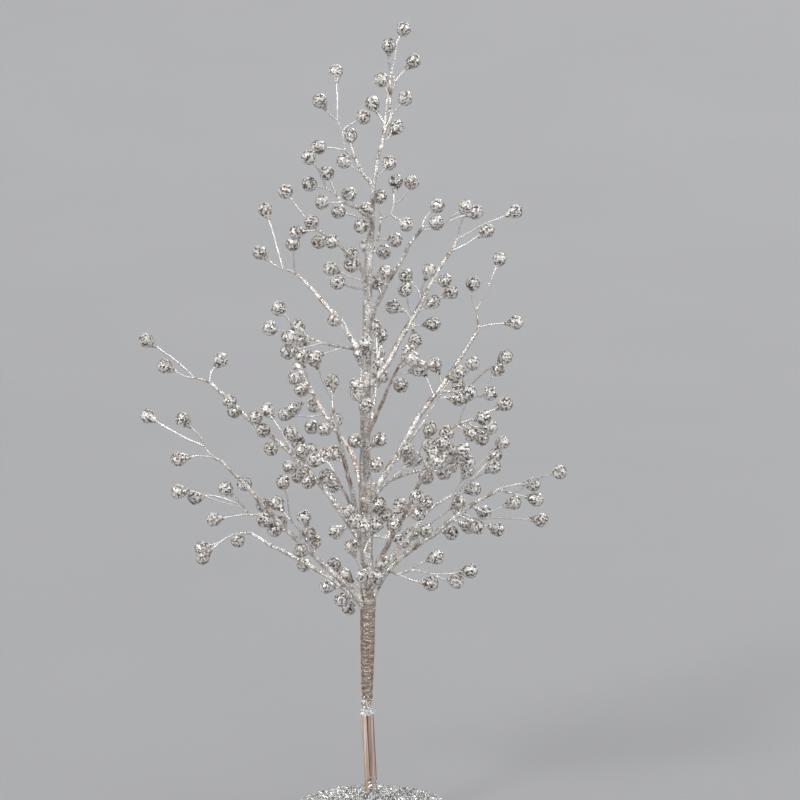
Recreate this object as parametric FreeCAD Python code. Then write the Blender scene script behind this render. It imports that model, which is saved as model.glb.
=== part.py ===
import FreeCAD, Part

import math
import os

from FreeCAD import Vector

# A table-top tree of foil-wrapped wire sprays that end in clear drop beads, on a round glittered base.
# Millimetres, +Z up, +Y away from the front, origin at the middle of the base's underside.

# Driving size: floor to the crown of the top bead
TREE_HEIGHT = 457.0

# Base
BASE_RADIUS = 43.5
BASE_HEIGHT = 16.0
BASE_EDGE_ROUND = 2.2
SHELL_WALL = 1.6
SHELL_LIFT = 0.6
PAD_THICKNESS = 1.6
WEIGHT_GAP = 0.3
GLUE_RADIUS = 10.0
GLUE_HEIGHT = 9.0
GLUE_RIM = 0.9
GLUE_EDGE = 0.5
GLUE_SAG_SHARE = 0.22

# Trunk
CORE_RADIUS = 1.4
CORE_TIP_RADIUS = 0.4
CORE_SEAT_DEPTH = 9.0
CORE_CLEARANCE = 0.05
SLEEVE_RADIUS = 3.6
SLEEVE_RIBS = 6
SLEEVE_RIB_RADIUS = 1.3
COLLAR_RADIUS = 3.9
COLLAR_HEIGHT = 2.8
TRUNK_RADIUS = 4.6
TRUNK_TIP_COVER = 2.0

# Sprays
STEM_ROOT_RADIUS = 1.9
STEM_TIP_RADIUS = 1.0
LIMB_RADIUS = 0.8
TWIG_RADIUS = 0.48
SEAT_CLEARANCE = 0.05

# Drop beads
BEAD_RADIUS = 4.1
BEAD_LENGTH = 11.1
SOCKET_DEPTH = 1.6
SOCKET_CLEARANCE = 0.05

# Least room between neighbours that only pass each other
PASSING_ROOM = 0.35

# Bead's outline from its neck: share of its length, share of its radius
BEAD_OUTLINE_SHARES = [(0.0, 0.30), (0.15, 0.40), (0.40, 0.88), (0.60, 1.0), (0.83, 0.83), (1.0, 0.30)]
BEAD_CENTRE_SHARE = 0.6
NECK_THICK_SHARE = 0.5
SHOULDER_THICK_SHARE = 0.7

# How far a twig leans away from the front, as a share of its length, and the turn between two twigs
LEAN_SHARE = 0.55
LEAN_TURN = 2.4
# A lone bead's twig leaves its stem this far back, as a share of the bead's distance, and bows by this much
BACK_SHARE = 0.75
BOW_SHARE = 0.15
# No twig leaves a stem before this share of its length, nor sits closer to its end than this share allows
BARE_STEM_SHARE = 0.19
# A stem's depth opens fast at first: the power that its way along is raised to
STEM_OPENING_POWER = 0.8
# A bead that meets another is moved along the line of sight by this share of its radius, this many times
PUSH_SHARE = 0.4
PUSH_TRIES = 44
# How far a curve's middle stands off a straight run, as a share of what its outer points say
BULGE_SHARE = 0.0625
# A twig's seat is looked for, and kept clear, over this many of its radii
SEAT_RADII = 8
ROOT_RADII = 6

# Front view that the tree was measured in: it looks a little down, and its rays pass through pixels
VIEW_TILT_DEG = 8.3
VIEW_FOCAL_PIXELS = 2650.0
VIEW_CENTRE_PIXEL = 400.0
FOOT_PIXEL = (372.0, 806.0)
ON_TRUNK_PIXELS = 1.0
TOP_BEAD_PIXEL = (403.8, 27.8)

# Trunk in that view, from the collar to its tip: across, down, and its share of the trunk's radius
TRUNK_PIXELS_AND_SHARES = [
    (366.8, 708.5, 0.62),
    (367.1, 690.0, 0.70),
    (367.5, 655.0, 0.86),
    (367.8, 622.0, 0.92),
    (368.0, 600.0, 0.96),
    (366.8, 560.0, 0.78),
    (365.4, 500.0, 0.80),
    (365.3, 450.0, 0.66),
    (365.6, 400.0, 0.62),
    (366.5, 350.0, 0.58),
    (367.5, 300.0, 0.54),
    (369.0, 255.0, 0.50),
    (371.7, 222.0, 0.38),
    (372.3, 200.0, 0.30),
    (373.5, 184.0, 0.28),
    (376.5, 168.0, 0.26),
    (379.2, 151.0, 0.22),
    (382.8, 140.6, 0.20),
]

# Sprays in that view, top ones first. stem: its pixels from the trunk out; depth: how far its tip lies
# behind the trunk, in the same pixels; girth: its share of a stem's thickness. limbs are thin side arms,
# twigs run to the middle of their bead, and beads sit on short twigs that the text doesn't route.
SPRAYS = [
    {
        "name": "leader",
        "stem": [(382.8, 140.6), (384.9, 128.8), (391.0, 114.5), (389.6, 96.0), (394.6, 82.0), (391.3, 69.4)],
        "depth": 12,
        "girth": 0.55,
        "twigs": [
            [(391.3, 69.4), (394.5, 58), (396.5, 42), (403.8, 27.8)],
            [(391.3, 69.4), (388.5, 60), (389, 44)],
            [(394.6, 82), (400, 74), (405.2, 66), (413.8, 59.8)],
            [(389.6, 96), (385, 91.5), (381.5, 78.6)],
            [(391, 114.5), (395, 107), (405.3, 97.6)],
            [(384.9, 128.8), (383, 120.6), (372.2, 102.3)],
            [(383, 140), (388, 137), (397, 125.8)],
        ],
    },
    {
        "name": "top_left",
        "stem": [(373.5, 184), (362.5, 172.5), (355.2, 158), (351.5, 146)],
        "depth": 20,
        "girth": 0.6,
        "limbs": [
            [(355.2, 158), (345.3, 149.4), (343.5, 138), (342.3, 130.5), (337.2, 119.6)],
        ],
        "twigs": [
            [(351.5, 146), (350, 134.5)],
            [(345.3, 149.4), (334, 147.3), (326, 143.8), (318.2, 146.3)],
            [(337.2, 119.6), (330, 114.5), (324.5, 108), (319.7, 99.6)],
            [(337.2, 119.6), (337.7, 100), (337, 83), (335.8, 70.4)],
            [(342.3, 130.5), (347, 126), (353, 119.5), (363.3, 116)],
            [(361.5, 172.8), (354, 170.5), (343.8, 160.4)],
            [(375.5, 178), (380, 173), (389.3, 162)],
        ],
    },
    {
        "name": "upper_left",
        "stem": [(371, 218), (366, 213), (357.5, 207.6), (348.4, 204.2), (341.5, 200.5)],
        "depth": -40,
        "girth": 0.6,
        "limbs": [
            [(341.5, 200.5), (335.9, 194.1), (326.3, 187.8)],
        ],
        "twigs": [
            [(326.3, 187.8), (323.9, 181.2), (318.6, 169.6), (309, 156.5)],
            [(337.3, 194), (330.1, 180.2), (326.7, 172)],
            [(326.3, 187.8), (318, 188.6), (309.2, 183.1)],
            [(341.5, 200.5), (337.3, 201.8), (321.9, 201.2)],
            [(357.5, 207.6), (358.7, 203), (348.8, 193.2)],
            [(366, 222), (360.4, 217.2), (338.3, 210.5)],
        ],
        "beads": [(366.6, 208.6), (360.9, 225.4)],
    },
    {
        "name": "upper_right",
        "stem": [(371.5, 250), (374.5, 243), (378.2, 238.3)],
        "depth": 24,
        "girth": 0.6,
        "limbs": [
            [(378.2, 238.3), (380.8, 219.6), (385.8, 215.3), (390.6, 214)],
        ],
        "twigs": [
            [(380.8, 219.6), (384.4, 202.5), (379.6, 196)],
            [(390.6, 214), (393.3, 204), (393.5, 189.5), (395.8, 180.3)],
            [(393.3, 204), (399.5, 200), (404.5, 195), (411.7, 181.6)],
            [(390.6, 214), (395, 217), (406.4, 223.5)],
            [(378.2, 238.3), (383, 237.8), (395.2, 239.3)],
            [(371.5, 252.5), (375.5, 250.5), (383.5, 251.3)],
        ],
        "beads": [(366.6, 245.1)],
    },
    {
        "name": "left_high",
        "stem": [(367, 288), (361.3, 268.7), (358, 261), (345, 249.4), (326.7, 235), (317, 229.2)],
        "depth": -60,
        "girth": 0.7,
        "twigs": [
            [(317, 229.2), (308, 219), (300.8, 211), (295, 200), (285.2, 190.3)],
            [(317, 229.2), (315, 226), (311.3, 221.1)],
            [(317, 229.2), (307.5, 229.1), (296, 231.6)],
            [(363.5, 285), (357, 278.3), (346.9, 274.9), (330.1, 267.7)],
            [(364.5, 291), (356, 288), (345, 284), (337.6, 281.4)],
        ],
        "beads": [(318.6, 240.8), (331.5, 240.3), (351.7, 253.3), (351.3, 264.3)],
    },
    {
        "name": "left_long_high",
        "stem": [
            (365, 362), (356.9, 346.7), (345.4, 328.5), (340.6, 317.9), (330, 309.2), (322.3, 300.6),
            (312.3, 288.8), (301.7, 278.3), (296.4, 273.5),
        ],
        "depth": 70,
        "girth": 0.9,
        "limbs": [
            [(296.4, 273.5), (291.2, 270.6), (283.2, 268.3)],
        ],
        "twigs": [
            [(283.2, 268.3), (273.8, 264.3), (265.7, 258.5), (259.2, 251.8)],
            [(283.2, 268.3), (276.7, 245.6), (272.9, 231.2), (265, 208.6)],
            [(296.4, 273.5), (294, 265.8), (289.5, 251.5), (292.8, 243.2)],
        ],
        "beads": [(334.3, 319)],
    },
    {
        "name": "right_high",
        "stem": [
            (368, 328), (374.2, 309), (380, 297.5), (385.8, 285), (392.5, 273.5), (399.2, 263.8),
            (408.8, 245.6), (413.7, 238.8), (421.5, 228),
        ],
        "depth": -50,
        "girth": 0.85,
        "twigs": [
            [(421.5, 228), (425.2, 216.7), (429, 210), (437.4, 205.2)],
            [(421.5, 228), (426, 226.8), (436.7, 222)],
            [(421, 229), (430, 228), (443.5, 222), (461, 215.5), (476.2, 211.4)],
            [(443.5, 222), (452, 216), (465.5, 206.2)],
        ],
        "beads": [(384.9, 271.5), (376.7, 282.1)],
    },
    {
        "name": "right_long_high",
        "stem": [
            (368, 386), (380, 372), (387.7, 363), (401.2, 336.2), (413.7, 316), (423.3, 297.7),
            (433.8, 277.3), (445.4, 258.1), (450.7, 250.4), (457.9, 237),
        ],
        "depth": 60,
        "girth": 1.0,
        "twigs": [
            [(457.9, 237), (459.3, 227.3), (466.1, 206.2)],
            [(457.9, 237), (467.5, 232.6), (485.8, 222.5), (500.2, 217.2), (516.1, 210.5)],
            [(450.7, 250.4), (466.5, 243.2), (477.1, 237.9), (487.7, 229.7)],
            [(419.5, 295), (421.5, 287.5), (429.5, 269.8)],
            [(418.7, 302), (418.5, 289.8), (414.5, 279), (406, 275.2)],
            [(412.5, 316), (408.8, 304.2), (405, 288.8)],
            [(410, 320), (406.9, 311.2), (392.5, 306)],
            [(431, 281), (436.5, 279.8), (444.9, 279.7)],
            [(419, 308), (430, 303), (451.6, 291.3)],
            [(416, 314), (424.5, 308), (433.4, 300.8)],
            [(412, 320), (414.5, 325), (421, 325.5), (433.4, 323.2)],
            [(412, 320), (413.5, 330), (415.6, 340)],
        ],
    },
    {
        "name": "front_mid",
        "stem": [(365.5, 480), (364, 450), (362, 420), (361, 396)],
        "depth": -140,
        "girth": 0.8,
        "beads": [
            (357, 384.7), (366, 405.5), (355.7, 440), (357.5, 393), (365.9, 342.4), (360.5, 353.5),
            (379.8, 439), (376.1, 464.5),
        ],
    },
    {
        "name": "back_mid",
        "stem": [(367, 440), (373, 405), (377, 375), (379, 350)],
        "depth": 140,
        "girth": 0.8,
        "beads": [
            (374.8, 325.3), (381.4, 334.3), (378.6, 351.5), (379.5, 364), (381.9, 375.6), (374.2, 381),
        ],
    },
    {
        "name": "right_mid",
        "stem": [(367, 434), (372.3, 424.6), (384.8, 395.8), (394.5, 373), (401.6, 362)],
        "depth": -90,
        "girth": 0.7,
        "twigs": [
            [(394.5, 375), (406, 366.9), (419.4, 368.4)],
            [(393, 380), (396, 381), (400.7, 384.7)],
        ],
        "beads": [(409, 350), (413, 358.5)],
    },
    {
        "name": "left_mid",
        "stem": [(366, 362), (358.5, 352.5), (352, 347.6), (341.5, 346.5), (322.3, 342.4)],
        "depth": -80,
        "girth": 0.65,
        "limbs": [
            [(322.3, 342.4), (309, 337), (297, 332)],
        ],
        "twigs": [
            [(309, 337), (303, 332.5), (297.3, 326)],
            [(322.3, 342.4), (308.8, 345.8), (287.9, 351)],
            [(341.5, 346.5), (331.9, 350.6), (311.7, 356.3)],
            [(297, 332), (284.8, 331.3), (269.4, 327.5)],
            [(297, 332), (291.1, 321.7), (286.7, 314), (278.4, 307.8)],
            [(297, 332), (288.7, 337.1)],
        ],
        "beads": [(302.4, 340.2)],
    },
    {
        "name": "left_cluster",
        "stem": [
            (362, 492), (354, 457.3), (341.5, 437.1), (326.2, 416.5), (314.6, 395.8), (304, 376),
        ],
        "depth": 100,
        "girth": 0.8,
        "twigs": [
            [(313, 396), (302, 404), (293, 408.3)],
            [(324, 414), (308, 416), (292, 420), (284.8, 413.6)],
        ],
        "beads": [
            (301.2, 356.3), (299.2, 366.3), (294.7, 377.3), (301.2, 389.3), (313.9, 405.4),
            (324.2, 428.5), (311.5, 426.5),
        ],
    },
    {
        "name": "left_front",
        "stem": [
            (362, 548), (357.9, 524.6), (352.1, 491), (348.3, 476.5), (341.5, 447.7), (332.9, 407.3),
        ],
        "depth": -72,
        "girth": 0.9,
        "twigs": [
            [(332.9, 407.3), (330.2, 394), (331.6, 380.9)],
            [(331.5, 400), (321.3, 377.5), (314, 358)],
            [(345, 462), (341.5, 456.3), (333.8, 452)],
        ],
        "beads": [(335.7, 419), (325.2, 454)],
    },
    {
        "name": "left_inner",
        "stem": [(364, 534), (356, 515), (344.4, 491.9), (333, 470)],
        "depth": -115,
        "girth": 0.65,
        "twigs": [
            [(333, 470), (327.1, 461), (313.7, 459.7)],
        ],
        "beads": [(326, 475.8), (333.5, 484.7), (348.5, 511.6), (356, 521)],
    },
    {
        "name": "left_long",
        "stem": [
            (363, 545), (351.2, 526.5), (336.7, 505.4), (320.4, 483.3), (301.2, 463.1), (282.9, 444.8),
            (271.3, 436.2), (245.4, 416.3), (224.2, 395.2), (209.8, 382),
        ],
        "depth": 34,
        "girth": 1.0,
        "limbs": [
            [(209.8, 382), (200.2, 378.4), (193.5, 377)],
        ],
        "twigs": [
            [(209.8, 382), (210.8, 372.1), (220.7, 358.8)],
            [(193.5, 377), (183.8, 375.5), (173.3, 371.6), (164.1, 365.4)],
            [(193.5, 377), (178.1, 362.5), (163.7, 351.9), (145.9, 339.4)],
            [(295.4, 456), (289.6, 445.8), (281, 430.4), (267, 409)],
            [(308, 470), (305, 464), (301.2, 450.6)],
            [(302, 464), (298, 452), (290.6, 432.3)],
            [(306, 467), (300, 463), (289.6, 466.4)],
        ],
        "beads": [
            (229.5, 401), (233.8, 410.4), (255.7, 416.4), (263.2, 429.8), (270.9, 448.1), (297.5, 440.7),
            (310, 449.6), (298.4, 475.8), (308, 481.3),
        ],
    },
    {
        "name": "left_low_long",
        "stem": [
            (364, 606), (352, 590), (334, 574.2), (314.8, 556), (288.8, 531.9), (272, 514), (258.1, 500.2),
            (247.5, 486.7), (231, 470.2), (219.4, 459.6),
        ],
        "depth": -56,
        "girth": 1.0,
        "limbs": [
            [(219.4, 459.6), (214.6, 457.5), (203.1, 445)],
            [(268, 511), (258, 514), (249.3, 513.5), (244, 507.6)],
        ],
        "twigs": [
            [(203.1, 445), (187.7, 438.5), (171.3, 429.8), (147, 415.4)],
            [(203.1, 445), (198.5, 434.5), (191.5, 424), (182.4, 418.9)],
            [(214.6, 457.5), (197.3, 455), (189, 453.2), (177.8, 458.5)],
            [(249.3, 513.5), (236.5, 515), (222, 514.5), (212.9, 519.1)],
            [(244, 507.6), (240, 502.5), (232.5, 495.5), (225.2, 488)],
            [(244, 507.6), (233, 501.5), (221, 497), (208, 494.5), (194.7, 496.9)],
            [(244, 507.6), (232, 504), (214, 499.5), (194, 491), (177.6, 490.9)],
            [(303, 541), (299, 529), (291.5, 522), (288.7, 510), (287.2, 499), (282.8, 481.6)],
            [(290.5, 519.5), (285.5, 514), (276.5, 502.3)],
            [(309.3, 545), (308.4, 530), (303.9, 516.3)],
        ],
        "beads": [
            (244.4, 483.7), (262.8, 504.8), (263.8, 519.6), (280, 522.3), (274.4, 529), (308.2, 532),
            (314.5, 541.2), (300.2, 550.2),
        ],
    },
    {
        "name": "left_low",
        "stem": [
            (366, 615), (359.6, 602.5), (342.3, 586.2), (319.2, 571), (300.4, 559.8), (271.5, 545.4),
            (250.4, 532.4),
        ],
        "depth": 66,
        "girth": 0.9,
        "limbs": [
            [(250.4, 532.4), (242.7, 532.9), (233.1, 533.8)],
        ],
        "twigs": [
            [(233.1, 533.8), (227, 537), (217.3, 542.5), (201.2, 547.8)],
            [(228, 537), (217.3, 544), (209.5, 549), (202.5, 557.3)],
            [(240, 533), (238, 536), (237.7, 540)],
            [(352, 592), (345, 588), (326.4, 586.2)],
            [(354, 596), (348, 597), (341.3, 599.4)],
            [(360, 601), (361, 589), (356, 582), (351, 576), (344.3, 574.4)],
        ],
        "beads": [(303.8, 564.6), (334.1, 564), (349, 607.8)],
    },
    {
        "name": "right_long",
        "stem": [
            (366.5, 508), (371.3, 496.7), (384.8, 473.7), (399.2, 451.5), (418.5, 416), (438.7, 390),
            (456.9, 363), (471.3, 340), (479.5, 327),
        ],
        "depth": 44,
        "girth": 1.0,
        "limbs": [
            [(479.5, 327), (478.1, 318.8), (476.6, 309.2)],
            [(442.5, 392.9), (455, 391), (469.9, 386.2)],
            [(469.9, 386.2), (474, 390), (478.6, 396)],
            [(387, 470), (399, 458), (410, 441), (425, 419.5), (436.7, 400.4)],
        ],
        "twigs": [
            [(479.5, 327), (490.6, 323.8), (516.5, 321.6)],
            [(476.6, 309.2), (472, 298), (473, 283)],
            [(476.6, 309.2), (485.8, 290.8), (491.5, 278.3), (499.7, 258)],
            [(455, 376), (465.6, 373.2), (472.8, 362.6)],
            [(443.5, 384), (438.7, 370), (434.5, 363.6)],
            [(434.3, 396), (429, 382.3), (421, 366)],
            [(469.9, 386.2), (483, 372), (496.5, 360), (506, 356)],
            [(478.6, 396), (485.8, 387.1), (488.7, 373.7), (497.8, 368.8)],
            [(478.6, 396), (483, 394), (490.6, 392.9)],
            [(436.7, 400.4), (445.2, 385.5), (452.7, 378), (458.8, 371.7)],
            [(436.7, 400.4), (443, 396.5), (450, 396), (458.4, 398.4)],
        ],
        "beads": [(458.4, 384.7)],
    },
    {
        "name": "right_mid_low",
        "stem": [
            (367, 516), (376, 494), (390.6, 479.9), (409.8, 472.1), (430, 466), (441, 449), (446.3, 434),
            (453, 427),
        ],
        "depth": -62,
        "girth": 0.65,
        "limbs": [
            [(453, 427), (459.3, 423.4), (475.4, 417)],
        ],
        "twigs": [
            [(390.6, 479.9), (397.3, 472.2), (415.6, 458.3)],
            [(475.4, 417), (488.7, 411.5), (506, 403)],
            [(459.3, 423.4), (462, 412), (464.6, 398.4), (469.6, 392.1)],
            [(466, 421), (474, 426), (490.6, 427)],
            [(412, 471), (417, 455), (425.2, 437.6), (430, 428)],
            [(400, 475), (404, 462), (407.4, 449.6)],
        ],
        "beads": [
            (446.6, 432.3), (471.3, 433.2), (481.9, 438.1), (429.5, 444.9), (484, 417),
        ],
    },
    {
        "name": "right_cluster",
        "stem": [
            (369, 586), (383.7, 552.5), (396.2, 528.5), (407.7, 510.2), (418.5, 484.2), (429, 471.7), (445, 457),
        ],
        "depth": -135,
        "girth": 0.9,
        "twigs": [
            [(387.2, 545), (392.5, 517.9), (400.5, 504.7)],
        ],
        "beads": [
            (443, 442.4), (433.8, 452.5), (438.7, 462), (450, 450), (458, 456), (463.7, 449.5),
            (451.2, 465), (444, 472), (431, 463), (426.1, 476.7), (467.5, 461.7), (416.8, 496.5),
            (425.5, 502), (418.5, 513), (394.3, 525),
        ],
    },
    {
        "name": "right_back",
        "stem": [(368, 582), (392, 556), (412, 531), (428.8, 509.5), (439.5, 502), (448, 496.7), (455, 494)],
        "depth": 96,
        "girth": 0.85,
        "twigs": [
            [(455, 494), (464, 492.4), (474.2, 488.5)],
            [(455, 494), (475.2, 477.9), (494.3, 466.3)],
            [(468, 483), (482.9, 467), (495.4, 454.3)],
            [(456, 490), (468.5, 477), (482.9, 460.5), (502.9, 441.8)],
            [(452, 495), (460, 480), (467.6, 470.1)],
        ],
    },
    {
        "name": "right_low_long",
        "stem": [
            (367, 606), (376, 589), (389.4, 567.9), (410.6, 549.6), (433.7, 534.2), (448.8, 521.3),
            (473.8, 503.1), (500, 488.6),
        ],
        "depth": -22,
        "girth": 1.0,
        "limbs": [
            [(500, 488.6), (507, 491.5), (513.7, 492.8)],
        ],
        "twigs": [
            [(500, 488.6), (516.2, 483.8), (533.6, 483.6)],
            [(513.7, 492.8), (526.2, 485.6), (537, 477.8), (549, 470.5), (559.8, 471.6)],
            [(513.7, 492.8), (524, 495), (536.7, 499)],
            [(473.3, 508), (484, 511.5), (493, 510), (503, 506.3), (514.6, 502)],
            [(463.7, 516), (475, 518), (491.5, 517), (511.7, 518), (541.4, 519.5)],
            [(460, 518), (481.9, 524), (497.5, 528.7)],
            [(412, 545), (425, 527.6), (444.2, 513.1), (458.7, 501.2)],
        ],
        "beads": [
            (484.3, 511.8), (469, 526.5), (477.8, 526.8), (451.3, 532.3), (459.5, 509.6), (426, 530),
        ],
    },
    {
        "name": "right_low",
        "stem": [(367.5, 598), (376, 583), (388.5, 571.5), (397.1, 574.1)],
        "depth": -90,
        "girth": 0.7,
        "limbs": [
            [(397.1, 574.1), (406, 571.5), (413, 569.7), (424, 571.6), (432, 573.4)],
        ],
        "twigs": [
            [(397.1, 574.1), (406.7, 578), (417.3, 581.3), (431.3, 583.3)],
            [(403, 573), (408.7, 569.3), (421.2, 562.6), (436.5, 556.7)],
            [(432, 573.4), (445, 573.6), (458, 573.4), (470.8, 570.4)],
            [(432, 573.4), (440, 578), (446, 579.5), (457, 581.2)],
        ],
        "beads": [(382.9, 562), (376, 576)],
    },
    {
        "name": "front_low",
        "stem": [(367, 590), (364, 568), (362, 550), (368, 536)],
        "depth": -120,
        "girth": 0.65,
        "twigs": [
            [(363, 571), (360, 566), (355.6, 559), (351.4, 545.8)],
        ],
        "beads": [(376.2, 523.7), (364.1, 525.6), (362.7, 575.1), (385, 514), (379.1, 502.9)],
    },
    {
        "name": "back_low",
        "stem": [(367, 572), (366, 552), (372, 536), (390, 538)],
        "depth": 118,
        "girth": 0.65,
        "twigs": [
            [(369, 541), (359, 530), (350, 524.5), (343.5, 526.5), (335.5, 531.5)],
        ],
        "beads": [(404, 541), (412, 533)],
    },
]

# Beads that show their crown in that view, by their pixel in the table above: they hide their neck
FACING_BEAD_PIXELS = {
    (403.8, 27.8), (381.5, 78.6), (405.3, 97.6), (363.3, 116), (318.2, 146.3), (309, 156.5),
    (343.8, 160.4), (326.7, 172), (309.2, 183.1), (411.7, 181.6), (285.2, 190.3), (348.8, 193.2),
    (379.6, 196), (321.9, 201.2), (437.4, 205.2), (465.5, 206.2), (338.3, 210.5), (436.7, 222),
    (406.4, 223.5), (395.2, 239.3), (292.8, 243.2), (499.7, 258), (406, 275.2), (473, 283),
    (405, 288.8), (278.4, 307.8), (269.4, 327.5), (472.8, 362.6), (497.8, 368.8), (446.6, 432.3),
    (270.9, 448.1), (559.8, 471.6), (282.8, 481.6), (289.6, 466.4),
}
# How far such a bead turns from its twig to the viewer, as far as there is room, and the sharpest bend
# that its twig may come in by
FACING_TURNS_DEG = [58.0, 35.0, 0.0]
SHARPEST_BEND_DEG = 76.0

UP = Vector(0, 0, 1)


# Places in the view

def view_ray(pixel):
    """Where a pixel's ray goes: across, ahead and up."""
    tilt = math.radians(VIEW_TILT_DEG)
    over = VIEW_CENTRE_PIXEL - pixel[1]
    ahead = math.cos(tilt) * VIEW_FOCAL_PIXELS + math.sin(tilt) * over
    rise = math.cos(tilt) * over - math.sin(tilt) * VIEW_FOCAL_PIXELS
    return pixel[0] - VIEW_CENTRE_PIXEL, ahead, rise


def view_distance():
    """How far in front of the trunk the view's eye stands for the tree to come out at its height."""
    foot_across, foot_ahead, foot_rise = view_ray(FOOT_PIXEL)
    top_across, top_ahead, top_rise = view_ray(TOP_BEAD_PIXEL)
    crown = BEAD_LENGTH * (1 - BEAD_CENTRE_SHARE)
    return (TREE_HEIGHT - BASE_HEIGHT - crown) / (top_rise / top_ahead - foot_rise / foot_ahead)


VIEW_DISTANCE = view_distance()
PIXEL_SIZE = VIEW_DISTANCE / view_ray(FOOT_PIXEL)[1]


def place(pixel, depth):
    """The point that a pixel shows, at a depth behind the trunk that is given in pixels."""
    across, ahead, rise = view_ray(pixel)
    foot_across, foot_ahead, foot_rise = view_ray(FOOT_PIXEL)
    reach = (VIEW_DISTANCE + depth * PIXEL_SIZE) / ahead
    x = across * reach - foot_across * PIXEL_SIZE
    z = BASE_HEIGHT + rise * reach - foot_rise * PIXEL_SIZE
    return Vector(x, depth * PIXEL_SIZE, z)


def span(pixel, other):
    """The distance between two pixels."""
    return math.hypot(other[0] - pixel[0], other[1] - pixel[1])


def travelled(pixels):
    """The distance from the first pixel to each one, along the line through them."""
    lengths = [0.0]
    for before, after in zip(pixels, pixels[1:]):
        lengths.append(lengths[-1] + span(before, after))
    return lengths


def between(first, second, share):
    """The point a share of the way from one pixel to another."""
    return tuple(a + (b - a) * share for a, b in zip(first, second))


# Lines in space

def smooth(points):
    """The points with one more between each two, on the curve that runs through them."""
    if len(points) < 3:
        return list(points)
    finer = [points[0]]
    for index in range(len(points) - 1):
        start = points[index]
        end = points[index + 1]
        before = points[max(index - 1, 0)]
        after = points[min(index + 2, len(points) - 1)]
        middle = (start + end) / 2
        bulge = (start - before - after + end) * BULGE_SHARE
        finer.append(middle + bulge)
        finer.append(end)
    return finer


def resample(points, step):
    """Points along a line at most one step apart, each with its distance from the start."""
    samples = []
    gone = 0.0
    for start, end in zip(points, points[1:]):
        length = (end - start).Length
        count = max(1, math.ceil(length / step))
        for index in range(count):
            samples.append((start + (end - start) * (index / count), gone + length * index / count))
        gone += length
    samples.append((points[-1], gone))
    return samples


def directions(points):
    """The line's direction at each of its points."""
    found = []
    for index in range(len(points)):
        ahead = points[min(index + 1, len(points) - 1)]
        behind = points[max(index - 1, 0)]
        found.append((ahead - behind).normalize())
    return found


def square_to(direction):
    """A direction at right angles to the one given."""
    least = min((abs(direction.x), Vector(1, 0, 0)), (abs(direction.y), Vector(0, 1, 0)),
                (abs(direction.z), Vector(0, 0, 1)), key=lambda entry: entry[0])[1]
    return direction.cross(least).normalize()


def ring(centre, direction, side, radius):
    """A circle about a direction, whose seam lies on the side given."""
    third = direction.cross(side)
    matrix = FreeCAD.Matrix(
        side.x, third.x, direction.x, centre.x,
        side.y, third.y, direction.y, centre.y,
        side.z, third.z, direction.z, centre.z,
        0, 0, 0, 1,
    )
    circle = Part.makeCircle(radius)
    circle.Placement = FreeCAD.Placement(matrix)
    return Part.Wire(circle)


def tube(points, radii, level_start=False):
    """A round bar through the points, with its own radius at each."""
    headings = directions(points)
    if level_start:
        headings[0] = UP
    side = square_to(headings[0])
    rings = []
    for point, heading, radius in zip(points, headings, radii):
        side = (side - heading * side.dot(heading)).normalize()
        rings.append(ring(point, heading, side, radius))
    return outside_out(Part.makeLoft(rings, True, True))


def outside_out(solid):
    """The solid with its faces turned outwards."""
    if solid.Volume < 0:
        solid.reverse()
    return solid


def largest(shape):
    """The biggest solid of a shape."""
    return max([outside_out(solid) for solid in shape.Solids], key=lambda solid: solid.Volume)


def turned(edges):
    """A solid of revolution about Z, from the edges of its outline in the XZ plane."""
    face = Part.Face(Part.Wire(edges))
    return face.revolve(Vector(0, 0, 0), UP, 360)


def outline(points):
    """Straight edges through points given as (out, up), closed."""
    corners = [Vector(out, 0, up) for out, up in points]
    return Part.makePolygon(corners + corners[:1]).Edges


def edge(start, end):
    """A straight edge between two points given as (out, up)."""
    return Part.makeLine(Vector(start[0], 0, start[1]), Vector(end[0], 0, end[1]))


def corner(centre, radius):
    """A quarter arc from straight up to straight out about a centre given as (out, up)."""
    middle = radius * math.sqrt(0.5)
    start = Vector(centre[0], 0, centre[1] + radius)
    halfway = Vector(centre[0] + middle, 0, centre[1] + middle)
    end = Vector(centre[0] + radius, 0, centre[1])
    return Part.Arc(start, halfway, end).toShape()


# Base

def inner_round():
    """The rounding inside the shell's top edge."""
    return max(BASE_EDGE_ROUND - SHELL_WALL, WEIGHT_GAP)


def base_shell():
    """The glittered cover: a top with a rounded edge, a wall, and a hole for the rod."""
    hole = CORE_RADIUS + CORE_CLEARANCE
    top = BASE_HEIGHT
    ceiling = BASE_HEIGHT - SHELL_WALL
    inside = BASE_RADIUS - SHELL_WALL
    inner = inner_round()
    return turned([
        edge((hole, top), (BASE_RADIUS - BASE_EDGE_ROUND, top)),
        corner((BASE_RADIUS - BASE_EDGE_ROUND, top - BASE_EDGE_ROUND), BASE_EDGE_ROUND),
        edge((BASE_RADIUS, top - BASE_EDGE_ROUND), (BASE_RADIUS, SHELL_LIFT)),
        edge((BASE_RADIUS, SHELL_LIFT), (inside, SHELL_LIFT)),
        edge((inside, SHELL_LIFT), (inside, ceiling - inner)),
        corner((inside - inner, ceiling - inner), inner),
        edge((inside - inner, ceiling), (hole, ceiling)),
        edge((hole, ceiling), (hole, top)),
    ])


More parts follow.
